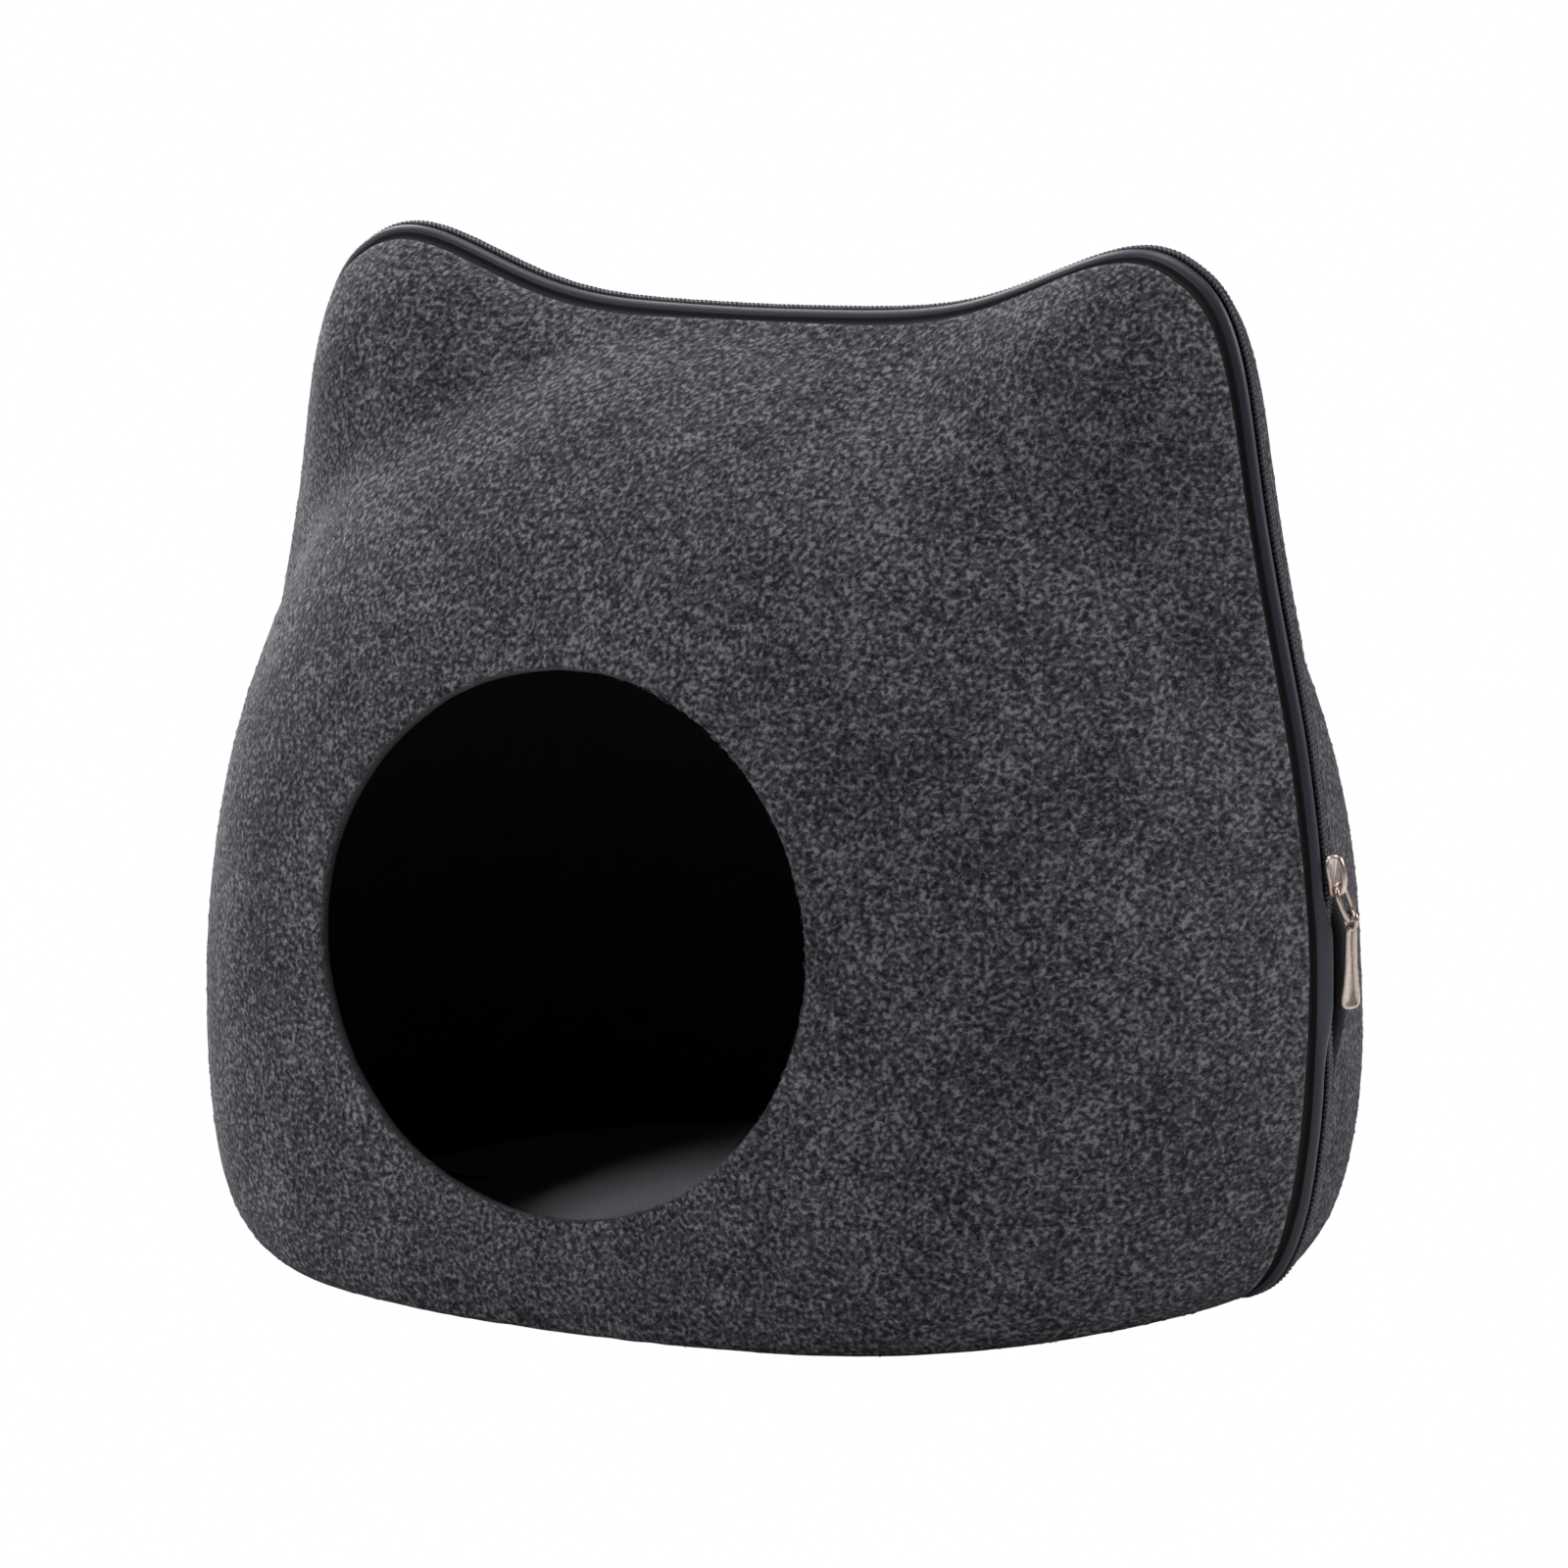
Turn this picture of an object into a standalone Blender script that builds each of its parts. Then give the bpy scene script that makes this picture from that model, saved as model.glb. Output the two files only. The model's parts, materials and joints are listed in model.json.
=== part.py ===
"""Felt cat cave: two moulded felt shells with a cat-head outline, joined by a zip.

Metres. X is the width, the doorway faces -Y and Z is up. The zip runs in the plane
y = 0, and the origin lies on the surface below the middle of the zip.
"""

import math

import bmesh
import bpy
import numpy as np
from mathutils import Matrix, Vector

# ---------------------------------------------------------------------------
# Driving dimensions
# ---------------------------------------------------------------------------

# Outline of the head in the zip plane, in polar form round the hub (0, HUB_HEIGHT)
HUB_HEIGHT = 0.091
BODY_HALF_WIDTH = 0.230
BODY_RISE = 0.265            # hub to crown
BODY_DROP = 0.263            # hub to the lowest point, before the base is pressed flat
BODY_ROUNDING_ABOVE = 2.35   # 2 is an ellipse, more is squarer
BODY_ROUNDING_BELOW = 2.0
EAR_ANGLE = 58.0             # degrees above the X axis
EAR_REACH = 0.076            # how far the ear stands out of the body outline
EAR_OUTER_SPREAD = 11.9      # degrees, towards the side
EAR_OUTER_POWER = 2.0
EAR_INNER_SPREAD = 10.5      # degrees, towards the crown
EAR_INNER_POWER = 2.74
BASE_ROUNDING = 0.051        # height over which the wall turns into the flat base

# Doming of each shell, from the zip plane out
FRONT_DEPTH = 0.168
BACK_DEPTH = 0.185
FACE_FLATNESS_SIDE = 3.8     # more gives a flatter face and a tighter turn
FACE_FLATNESS_TOP = 3.4
FACE_FLATNESS_BASE = 4.6
BODY_CREST = 1.52            # more gives a rounder turn at the zip
EAR_DEPTH_SHARE = 0.51       # depth at the root of an ear, as a share of its shell's depth
EAR_FLATNESS = 4.2
EAR_CREST = 1.48
BLEND_POWER = 4.0            # how sharply the ear grows out of the body

FELT = 0.004
DOORWAY_RADIUS = 0.100
DOORWAY_HEIGHT = 0.144
FRONT_EDGE_Y = -0.0145       # where each felt edge stops beside the zip
BACK_EDGE_Y = 0.0055
FRONT_LOFT_START = 0.0105    # each face starts this far from the zip plane, inside its edge
BACK_LOFT_START = 0.0025
TRIM_SIZE = 0.8              # width and height of the slabs that cut the felt edges
TRIM_REACH = 0.2             # how far a slab reaches beyond the far shell's edge
CLEARANCE = 0.0003           # between pieces that touch

# Zip
CHAIN_END_X = 0.140          # the zip ends this far from the middle, under the base
ZIP_LIFT_OFF = 0.0005        # the zip stays this much above the surface under the base
SLIDER_ANGLE = 17.1          # degrees, on the right side
GAPE_LENGTH = 0.050          # stretch below the slider where the rows lie apart
GAPE_FRONT = 0.0022
GAPE_BACK = 0.0008
GAPE_POWER = 0.7             # below 1 opens the gape quickly at its two ends

# Cross-sections of the zip's pieces: across is Y, lift is outwards from the felt's line.
# follows is the share of the gape by which a point moves away from the middle.
FRONT_TAPE_SECTION = (
    # across,   lift,    follows
    (-0.0142, -0.0020, 0.0),
    (-0.0092, -0.0018, 0.0),
    (-0.0087, -0.0003, 0.1),
    (-0.0074, 0.0010, 0.2),
    (-0.0058, 0.0012, 0.3),
    (-0.0044, 0.0004, 0.4),
    (-0.0038, -0.0012, 0.5),
    (-0.0003, -0.0015, 1.0),
    (-0.0003, -0.0026, 1.0),
    (-0.0142, -0.0031, 0.0),
)
BACK_TAPE_SECTION = (
    (0.0003, -0.0015, 1.0),
    (0.0041, -0.0015, 0.2),
    (0.0045, -0.0003, 0.0),
    (0.0052, -0.0003, 0.0),
    (0.0052, -0.0028, 0.0),
    (0.0003, -0.0026, 1.0),
)
COIL_ROW_SECTION = (
    # for the back row; the front row is its mirror image
    (0.0002, -0.0010, 1.0),
    (0.0002, 0.0007, 1.0),
    (0.0009, 0.0014, 1.0),
    (0.0018, 0.0013, 1.0),
    (0.0026, 0.0002, 1.0),
    (0.0024, -0.0010, 1.0),
)

# Slider and pull, in the slider's own axes: X runs down the zip, Y back, Z outwards
PLATE_OUTLINE = (
    # along,  half width: from the notch at the head to the tail
    (-0.0066, 0.0),
    (-0.0078, 0.0020),
    (-0.0072, 0.0042),
    (-0.0050, 0.0053),
    (-0.0018, 0.0052),
    (0.0032, 0.0040),
    (0.0066, 0.0036),
    (0.0078, 0.0022),
)
PLATE_UNDERSIDE = 0.0017
PLATE_TOP = 0.0031
PLATE_EDGE = 0.0004          # rounding of the plate's edges
BRIDGE_START_X = -0.0070
BRIDGE_END_X = 0.0070
BRIDGE_CREST = 0.0068        # height of the strap's middle line
BRIDGE_STRAP = 0.0018        # thickness
BRIDGE_WIDTH = 0.0034
SINK_SHARE = 0.25            # share of a wire's thickness that is sunk into what it joins
LINK_START_X = 0.0046        # inside the arch of the bridge
LINK_LEVEL = 0.0042
LINK_LENGTH = 0.0132         # between the middles of its two end bars
LINK_WIDTH = 0.0076
LINK_SQUARENESS = 3.2
LINK_WIRE = 0.0014           # diameter
LINK_SWING = 18.0            # degrees by which the link leans towards the back
LINK_TILT = 10.0             # degrees by which the plate's tail props the link outwards
EYE_DIAMETER = 0.0054        # of the middle of its wire
EYE_WIRE = 0.0015            # diameter
TAB_TWIST = 28.0             # degrees by which the hanging tab is turned to the front
TAB_LENGTH = 0.0312
TAB_WIDTH_TOP = 0.0060
TAB_WIDTH_END = 0.0088
TAB_CORNER = 0.0024
TAB_THICKNESS = 0.0015

# Base strip and floor lining
HINGE_HALF_LENGTH = 0.1375
HINGE_THICKNESS = 0.0020
HINGE_EDGE = 0.0004          # rounding of the strip's edges
LINING_THICKNESS = 0.0012
LINING_HALF_WIDTH = 0.178
LINING_FRONT = 0.150
LINING_BACK = 0.166
LINING_ROUNDING = 2.3

# Mesh density
HALF_COLUMNS = 36
RINGS = 15
TURN_WEIGHT = 0.035          # metres of a line that one radian of turning counts for
FINE_STEPS = 80
ANGLE_STEP = 0.002           # radians, for slopes and for walking along the outline
CHAIN_STATIONS = 76
BRIDGE_STEPS = 12
LINK_POINTS = 24
EYE_POINTS = 14
LINING_POINTS = 48
WIRE_BEVEL_RESOLUTION = 2
BEVEL_SEGMENTS = 2
CORNER_SEGMENTS = 4
MERGE_DISTANCE = 0.00005
WELD_DISTANCE = 0.00001


# ---------------------------------------------------------------------------
# The head's form
# ---------------------------------------------------------------------------

def body_radius(angle):
    """Outline of the body without ears: an ellipse-like curve with its own rounding."""
    rise, rounding = BODY_RISE, BODY_ROUNDING_ABOVE
    if math.sin(angle) < 0.0:
        rise, rounding = BODY_DROP, BODY_ROUNDING_BELOW
    across = abs(math.cos(angle)) / BODY_HALF_WIDTH
    upward = abs(math.sin(angle)) / rise
    return (across ** rounding + upward ** rounding) ** (-1.0 / rounding)


def ear_bell(offset_degrees):
    """Height of one ear, by its distance from the ear's tip; negative is the outer flank."""
    spread, power = EAR_INNER_SPREAD, EAR_INNER_POWER
    if offset_degrees < 0.0:
        spread, power = EAR_OUTER_SPREAD, EAR_OUTER_POWER
    return EAR_REACH / (1.0 + abs(offset_degrees / spread) ** power)


def rim_radius(angle):
    """Outline of the head in the zip plane, ears included."""
    from_side = math.degrees(math.atan2(math.sin(angle), abs(math.cos(angle))))
    near_ear = ear_bell(from_side - EAR_ANGLE)
    far_ear = ear_bell(180.0 - from_side - EAR_ANGLE)
    return body_radius(angle) + near_ear + far_ear


def press_to_floor(height):
    """Turn heights below the base into a flat base, with a rounded turn above it."""
    if height >= BASE_ROUNDING:
        return height
    if height <= -BASE_ROUNDING:
        return 0.0
    return (height + BASE_ROUNDING) ** 2 / (4.0 * BASE_ROUNDING)


def unpress(height):
    """The height that press_to_floor turns into this one."""
    if height >= BASE_ROUNDING:
        return height
    return 2.0 * math.sqrt(BASE_ROUNDING * height) - BASE_ROUNDING


def depth_at(angle, radius, shell_depth):
    """Distance of the moulded face from the zip plane."""
    upward = math.sin(angle)
    flatness = FACE_FLATNESS_SIDE + (FACE_FLATNESS_TOP - FACE_FLATNESS_SIDE) * max(upward, 0.0)
    flatness += (FACE_FLATNESS_BASE - FACE_FLATNESS_SIDE) * max(-upward, 0.0)
    body_share = max(1.0 - (radius / body_radius(angle)) ** flatness, 0.0)
    ear_share = max(1.0 - (radius / rim_radius(angle)) ** EAR_FLATNESS, 0.0)
    body = shell_depth * body_share ** (1.0 / BODY_CREST)
    ear = shell_depth * EAR_DEPTH_SHARE * ear_share ** (1.0 / EAR_CREST)
    return (body ** BLEND_POWER + ear ** BLEND_POWER) ** (1.0 / BLEND_POWER)


def radius_at(angle, depth, shell_depth):
    """The radius where the moulded face is this far from the zip plane."""
    inner, outer = 0.5 * rim_radius(angle), rim_radius(angle)
    for _ in range(40):
        middle = 0.5 * (inner + outer)
        if depth_at(angle, middle, shell_depth) > depth:
            inner = middle
        else:
            outer = middle
    return outer


def face_point(x, plan_height, side, shell_depth):
    """Point of the moulded face over a place in the unpressed outline's plan."""
    angle = math.atan2(plan_height - HUB_HEIGHT, x)
    radius = math.hypot(x, plan_height - HUB_HEIGHT)
    depth = depth_at(angle, radius, shell_depth)
    return Vector((x, side * depth, press_to_floor(plan_height)))


def outline_angles(first, last, count):
    """Angles spread along the pressed outline, closer together where it turns sharply."""
    fine = np.linspace(first, last, 40 * count + 1)
    points = np.array([[rim_radius(a) * math.cos(a),
                        press_to_floor(HUB_HEIGHT + rim_radius(a) * math.sin(a))] for a in fine])
    steps = np.diff(points, axis=0)
    lengths = np.hypot(steps[:, 0], steps[:, 1])
    headings = np.unwrap(np.arctan2(steps[:, 1], steps[:, 0]))
    turns = np.abs(np.diff(headings, prepend=headings[0]))
    travelled = np.concatenate([[0.0], np.cumsum(lengths + TURN_WEIGHT * turns)])
    wanted = np.linspace(0.0, travelled[-1], count + 1)
    return np.interp(wanted, travelled, fine)


def even_steps(points, count):
    """Pick count + 1 points along a polyline, closer together where it turns."""
    coordinates = np.array([list(point) for point in points])
    spans = np.diff(coordinates, axis=0)
    lengths = np.linalg.norm(spans, axis=1)
    directions = spans / lengths[:, None]
    cosines = np.clip(np.sum(directions[1:] * directions[:-1], axis=1), -1.0, 1.0)
    turns = np.concatenate([[0.0], np.arccos(cosines)])
    travelled = np.concatenate([[0.0], np.cumsum(lengths + TURN_WEIGHT * turns)])
    wanted = np.linspace(0.0, travelled[-1], count + 1)
    columns = [np.interp(wanted, travelled, coordinates[:, axis]) for axis in range(3)]
    return [Vector(values) for values in zip(*columns)]


# ---------------------------------------------------------------------------
# Blender helpers
# ---------------------------------------------------------------------------

def clear_scene():
    for item in list(bpy.data.objects):
        bpy.data.objects.remove(item, do_unlink=True)


def new_collection(name):
    collection = bpy.data.collections.new(name)
    bpy.context.scene.collection.children.link(collection)
    return collection


def new_material(name, colour, roughness, metallic=0.0):
    material = bpy.data.materials.new(name)
    material.use_nodes = True
    shader = material.node_tree.nodes["Principled BSDF"]
    shader.inputs["Base Color"].default_value = (*colour, 1.0)
    shader.inputs["Roughness"].default_value = roughness
    shader.inputs["Metallic"].default_value = metallic
    return material


def object_from_bmesh(name, shape, collection, material=None):
    mesh = bpy.data.meshes.new(name)
    shape.to_mesh(mesh)
    shape.free()
    piece = bpy.data.objects.new(name, mesh)
    collection.objects.link(piece)
    if material:
        mesh.materials.append(material)
    return piece


def smooth(piece, sharp_degrees=40.0):
    piece.data.shade_smooth()
    piece.data.set_sharp_from_angle(angle=math.radians(sharp_degrees))


def mesh_from_curve(curve_object, collection, material=None):
    """Swap a curve object for a mesh object with its caps welded on."""
    bpy.context.view_layer.update()
    evaluated = curve_object.evaluated_get(bpy.context.evaluated_depsgraph_get())
    mesh = bpy.data.meshes.new_from_object(evaluated)
    welded = bmesh.new()
    welded.from_mesh(mesh)
    bmesh.ops.remove_doubles(welded, verts=welded.verts, dist=WELD_DISTANCE)
    welded.to_mesh(mesh)
    welded.free()
    piece = bpy.data.objects.new(curve_object.name + "_mesh", mesh)
    piece.matrix_world = curve_object.matrix_world
    collection.objects.link(piece)
    mesh.materials.clear()
    if material:
        mesh.materials.append(material)
    bpy.data.objects.remove(curve_object, do_unlink=True)
    return piece


def add_boolean(piece, other, operation):
    modifier = piece.modifiers.new(operation.title(), "BOOLEAN")
    modifier.operation = operation
    modifier.object = other
    modifier.solver = "EXACT"


def hide_cutter(piece):
    piece.hide_render = True
    piece.display_type = "WIRE"


def wire_object(name, points, radius, collection, closed=False):
    """A round wire along a smooth path, as a poly curve with a bevel."""
    curve = bpy.data.curves.new(name, "CURVE")
    curve.dimensions = "3D"
    curve.bevel_depth = radius
    curve.bevel_resolution = WIRE_BEVEL_RESOLUTION
    curve.use_fill_caps = not closed
    spline = curve.splines.new("POLY")
    spline.points.add(len(points) - 1)
    for slot, point in zip(spline.points, points):
        slot.co = (*point, 1.0)
    spline.use_cyclic_u = closed
    item = bpy.data.objects.new(name, curve)
    collection.objects.link(item)
    return item


# ---------------------------------------------------------------------------
# Felt shells
# ---------------------------------------------------------------------------

def shell_column(angle, side, shell_depth, start_depth, doorway):
    """One line of the right half's face, from the zip to the doorway or to the hub."""
    start_radius = radius_at(angle, start_depth, shell_depth)
    start = Vector((start_radius * math.cos(angle), HUB_HEIGHT + start_radius * math.sin(angle)))
    start.x = max(start.x, 0.0)
    if abs(math.cos(angle)) < 1e-9:
        start.x = 0.0
    end = Vector((0.0, HUB_HEIGHT))
    if doorway:
        heading = math.atan2(start.y - DOORWAY_HEIGHT, start.x)
        rise = DOORWAY_HEIGHT + DOORWAY_RADIUS * math.sin(heading)
        end = Vector((DOORWAY_RADIUS * math.cos(heading) if start.x else 0.0, unpress(rise)))
    fine = []
    for step in range(FINE_STEPS + 1):
        # squeezed towards the start, where the face turns steeply
        share = (step / FINE_STEPS) ** 2
        place = start.lerp(end, share)
        fine.append(face_point(place.x, place.y, side, shell_depth))
    return even_steps(fine, RINGS)


def half_face(side, shell_depth, start_depth, doorway):
    """The right half of a shell's outer face, open at x = 0."""
    shape = bmesh.new()
    columns = []
    hub = None
    for angle in outline_angles(-math.pi / 2.0, math.pi / 2.0, HALF_COLUMNS):
        points = shell_column(angle, side, shell_depth, start_depth, doorway)
        if doorway:
            columns.append([shape.verts.new(point) for point in points])
        else:
            hub = hub or shape.verts.new(points[-1])
            columns.append([shape.verts.new(point) for point in points[:-1]] + [hub])
    for left, right in zip(columns, columns[1:]):
        for row in range(RINGS):
            corners = [left[row], right[row], right[row + 1], left[row + 1]]
            if corners[2] is corners[3]:
                corners.pop()
            shape.faces.new(corners)
    bmesh.ops.recalc_face_normals(shape, faces=shape.faces)
    highest = max(shape.faces, key=lambda face: face.calc_center_median().z)
    if highest.normal.z < 0.0:
        bmesh.ops.reverse_faces(shape, faces=shape.faces)
    return shape


def trim_slab(name, edge_y, side, cutters):
    """A block over everything on the zip's side of a felt edge."""
    shape = bmesh.new()
    bmesh.ops.create_cube(shape, size=1.0)
    bmesh.ops.scale(shape, vec=(TRIM_SIZE, TRIM_REACH, TRIM_SIZE), verts=shape.verts)
    centre = (0.0, edge_y - 0.5 * side * TRIM_REACH, 0.25 * TRIM_SIZE)
    bmesh.ops.translate(shape, vec=centre, verts=shape.verts)
    slab = object_from_bmesh(name, shape, cutters)
    hide_cutter(slab)
    return slab


def make_shell(name, side, shell_depth, start_depth, doorway, slab, parts, felt):
    shape = half_face(side, shell_depth, start_depth, doorway)
    shell = object_from_bmesh(name, shape, parts, felt)
    mirror = shell.modifiers.new("Mirror", "MIRROR")
    mirror.merge_threshold = MERGE_DISTANCE
    wall = shell.modifiers.new("Solidify", "SOLIDIFY")
    wall.thickness = FELT
    wall.offset = -1.0
    wall.use_even_offset = True
    add_boolean(shell, slab, "DIFFERENCE")
    smooth(shell)
    return shell


# ---------------------------------------------------------------------------
# Zip chain
# ---------------------------------------------------------------------------

def zip_point(angle, across, lift):
    """Point beside the zip: across it in Y, and lifted off the moulded face's line."""
    shell_depth = FRONT_DEPTH if across < 0.0 else BACK_DEPTH
    radius = radius_at(angle, abs(across), shell_depth)
    outward = rim_normal(angle)
    x = radius * math.cos(angle) + outward.x * lift
    z = press_to_floor(HUB_HEIGHT + radius * math.sin(angle)) + outward.z * lift
    return Vector((x, across, max(z, ZIP_LIFT_OFF)))


def rim_place(angle):
    radius = rim_radius(angle)
    return Vector((radius * math.cos(angle), 0.0,
                   press_to_floor(HUB_HEIGHT + radius * math.sin(angle))))


def rim_tangent(angle):
    return (rim_place(angle + ANGLE_STEP) - rim_place(angle - ANGLE_STEP)).normalized()


def rim_normal(angle):
    """Outward direction of the outline in the zip plane."""
    tangent = rim_tangent(angle)
    return Vector((tangent.z, 0.0, -tangent.x))


def chain_angles():
    """Stations of the zip, from its right end under the base, over the crown, to its left end."""
    end_angle = -math.pi / 2.0
    while rim_place(end_angle).x < CHAIN_END_X:
        end_angle += ANGLE_STEP
    half = outline_angles(end_angle, math.pi / 2.0, CHAIN_STATIONS // 2)
    mirrored = [math.pi - angle for angle in half[-2::-1]]
    return list(half) + mirrored


def gape_share(angle):
    """How far the rows lie apart, from 0 to 1: a lens just below the slider."""
    slider = math.radians(SLIDER_ANGLE)
    tail = PLATE_OUTLINE[-1][0] / rim_radius(slider)
    below = (slider - tail - angle) * rim_radius(slider)
    if not 0.0 < below < GAPE_LENGTH or math.cos(angle) < 0.0:
        return 0.0
    return math.sin(math.pi * below / GAPE_LENGTH) ** GAPE_POWER


def make_chain_piece(name, section, side, parts, material):
    """Loft a zip section along the outline."""
    shape = bmesh.new()
    gape = GAPE_BACK if side > 0 else GAPE_FRONT
    loops = []
    for angle in chain_angles():
        spread = gape * gape_share(angle)
        loop = []
        for across, lift, follows in section:
            loop.append(shape.verts.new(zip_point(angle, across + side * spread * follows, lift)))
        loops.append(loop)
    count = len(section)
    for first, second in zip(loops, loops[1:]):
        for here in range(count):
            there = (here + 1) % count
            shape.faces.new((first[here], first[there], second[there], second[here]))
    shape.faces.new(loops[0][::-1])
    shape.faces.new(loops[-1])
    bmesh.ops.recalc_face_normals(shape, faces=shape.faces)
    bmesh.ops.triangulate(shape, faces=[face for face in shape.faces if len(face.verts) > 4])
    piece = object_from_bmesh(name, shape, parts, material)
    smooth(piece, 50.0)
    return piece


def mirrored_section(section):
    return tuple((-across, lift, follows) for across, lift, follows in section)


# ---------------------------------------------------------------------------
# Slider and pull
# ---------------------------------------------------------------------------

def slider_matrix():
    """The slider's own axes: X down the zip, Y back, Z outwards."""
    angle = math.radians(SLIDER_ANGLE)
    down = -rim_tangent(angle)
    outward = rim_normal(angle)
    back = Vector((0.0, 1.0, 0.0))
    matrix = Matrix((down, back, outward)).transposed().to_4x4()
    matrix.translation = rim_place(angle)
    return matrix


def link_matrix():
    """The link's axes: X runs along it, from the bar inside the bridge's arch."""
    start = Matrix.Translation((LINK_START_X, 0.0, LINK_LEVEL))
    swing = Matrix.Rotation(math.radians(LINK_SWING), 4, "Z")
    tilt = Matrix.Rotation(math.radians(-LINK_TILT), 4, "Y")
    return slider_matrix() @ start @ swing @ tilt


def tab_matrix():
    """The tab's axes: X hangs straight down from the link's far bar, Z is the tab's face."""
    twist = Matrix.Rotation(math.radians(-TAB_TWIST), 4, "Z")
    face = twist @ Vector((1.0, 0.0, 0.0))
    down = Vector((0.0, 0.0, -1.0))
    matrix = Matrix((down, face.cross(down), face)).transposed().to_4x4()
    matrix.translation = link_matrix() @ Vector((LINK_LENGTH, 0.0, 0.0))
    return matrix


def oval(length, width, centre, steps, squareness=2.0, upright=False):
    """A closed oval about centre, flat or standing on edge; a squareness of 2 is an ellipse."""
    points = []
    for step in range(steps):
        turn = 2.0 * math.pi * step / steps
        reach = [math.copysign(abs(share) ** (2.0 / squareness), share)
                 for share in (math.cos(turn), math.sin(turn))]
        along, across = 0.5 * length * reach[0], 0.5 * width * reach[1]
        points.append(centre + Vector((along, 0.0, across) if upright else (along, across, 0.0)))
    return points


def tapered_block(length, start_width, end_width, low, high):
    """A block along X whose width changes from one end to the other."""
    shape = bmesh.new()
    bmesh.ops.create_cube(shape, size=1.0)
    bmesh.ops.scale(shape, vec=(length, 1.0, high - low), verts=shape.verts)
    bmesh.ops.translate(shape, vec=(0.0, 0.0, 0.5 * (low + high)), verts=shape.verts)
    for vertex in shape.verts:
        vertex.co.y *= start_width if vertex.co.x < 0.0 else end_width
    return shape


def place_wire(name, points, diameter, matrix, collection, material=None, closed=True):
    wire = wire_object(name + "_path", points, 0.5 * diameter, collection, closed)
    piece = mesh_from_curve(wire, collection, material)
    piece.name = name
    piece.matrix_world = matrix
    return piece


def make_bridge(cutters):
    """The strap over the slider that carries the pull."""
    middle, half = 0.5 * (BRIDGE_START_X + BRIDGE_END_X), 0.5 * (BRIDGE_END_X - BRIDGE_START_X)
    foot = PLATE_TOP - SINK_SHARE * BRIDGE_STRAP
    points = []
    for step in range(BRIDGE_STEPS + 1):
        turn = math.pi * step / BRIDGE_STEPS
        # the root makes the arch squarer than a half circle
        height = foot + (BRIDGE_CREST - foot) * math.sqrt(math.sin(turn))
        points.append(Vector((middle - half * math.cos(turn), 0.0, height)))
    bridge = place_wire("slider_bridge", points, BRIDGE_STRAP, slider_matrix(), cutters, closed=False)
    for vertex in bridge.data.vertices:
        vertex.co.y *= BRIDGE_WIDTH / BRIDGE_STRAP
    hide_cutter(bridge)
    return bridge


def make_slider(parts, cutters, metal):
    """A shield-shaped plate over the coils, with the bridge on top."""
    mirrored = [(along, -half_width) for along, half_width in PLATE_OUTLINE[:0:-1]]
    shape = bmesh.new()
    ring = [shape.verts.new((along, across, PLATE_UNDERSIDE))
            for along, across in (*PLATE_OUTLINE, *mirrored)]
    shape.faces.new(ring)
    bmesh.ops.recalc_face_normals(shape, faces=shape.faces)
    top = bmesh.ops.extrude_face_region(shape, geom=shape.faces[:])
    raised = [item for item in top["geom"] if isinstance(item, bmesh.types.BMVert)]
    bmesh.ops.translate(shape, vec=(0.0, 0.0, PLATE_TOP - PLATE_UNDERSIDE), verts=raised)
    bmesh.ops.recalc_face_normals(shape, faces=shape.faces)
    slider = object_from_bmesh("zip_slider", shape, parts, metal)
    slider.matrix_world = slider_matrix()
    bevel = slider.modifiers.new("Bevel", "BEVEL")
    bevel.width = PLATE_EDGE
    bevel.segments = BEVEL_SEGMENTS
    add_boolean(slider, make_bridge(cutters), "UNION")
    smooth(slider)
    return slider


def make_link(parts, metal):
    """An oval ring round the foot of the bridge."""
    centre = Vector((0.5 * LINK_LENGTH, 0.0, 0.0))
    ring = oval(LINK_LENGTH, LINK_WIDTH, centre, LINK_POINTS, LINK_SQUARENESS)
    link = place_wire("pull_link", ring, LINK_WIRE, link_matrix(), parts, metal)
    smooth(link)
    return link


def make_tab(parts, cutters, metal):
    """A flat tab whose eye stands on edge round the far bar of the link."""
    slack = 0.5 * (EYE_DIAMETER - EYE_WIRE - LINK_WIRE) - CLEARANCE
    eye_centre = Vector((slack, 0.0, 0.0))
    ring = oval(EYE_DIAMETER, EYE_DIAMETER, eye_centre, EYE_POINTS, upright=True)
    eye = place_wire("tab_eye", ring, EYE_WIRE, tab_matrix(), cutters)
    hide_cutter(eye)
    half = 0.5 * TAB_THICKNESS
    plate = tapered_block(TAB_LENGTH, TAB_WIDTH_TOP, TAB_WIDTH_END, -half, half)
    start = eye_centre.x + 0.5 * EYE_DIAMETER - SINK_SHARE * EYE_WIRE
    bmesh.ops.translate(plate, vec=(start + 0.5 * TAB_LENGTH, 0.0, 0.0), verts=plate.verts)
    corners = [edge for edge in plate.edges
               if abs((edge.verts[0].co - edge.verts[1].co).z) > half]
    bmesh.ops.bevel(plate, geom=corners, offset=TAB_CORNER, segments=CORNER_SEGMENTS,
                    profile=0.5, affect="EDGES", material=-1)
    tab = object_from_bmesh("pull_tab", plate, parts, metal)
    tab.matrix_world = tab_matrix()
    add_boolean(tab, eye, "UNION")
    smooth(tab)
    return tab


# ---------------------------------------------------------------------------
# Base strip and lining
# ---------------------------------------------------------------------------

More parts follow.
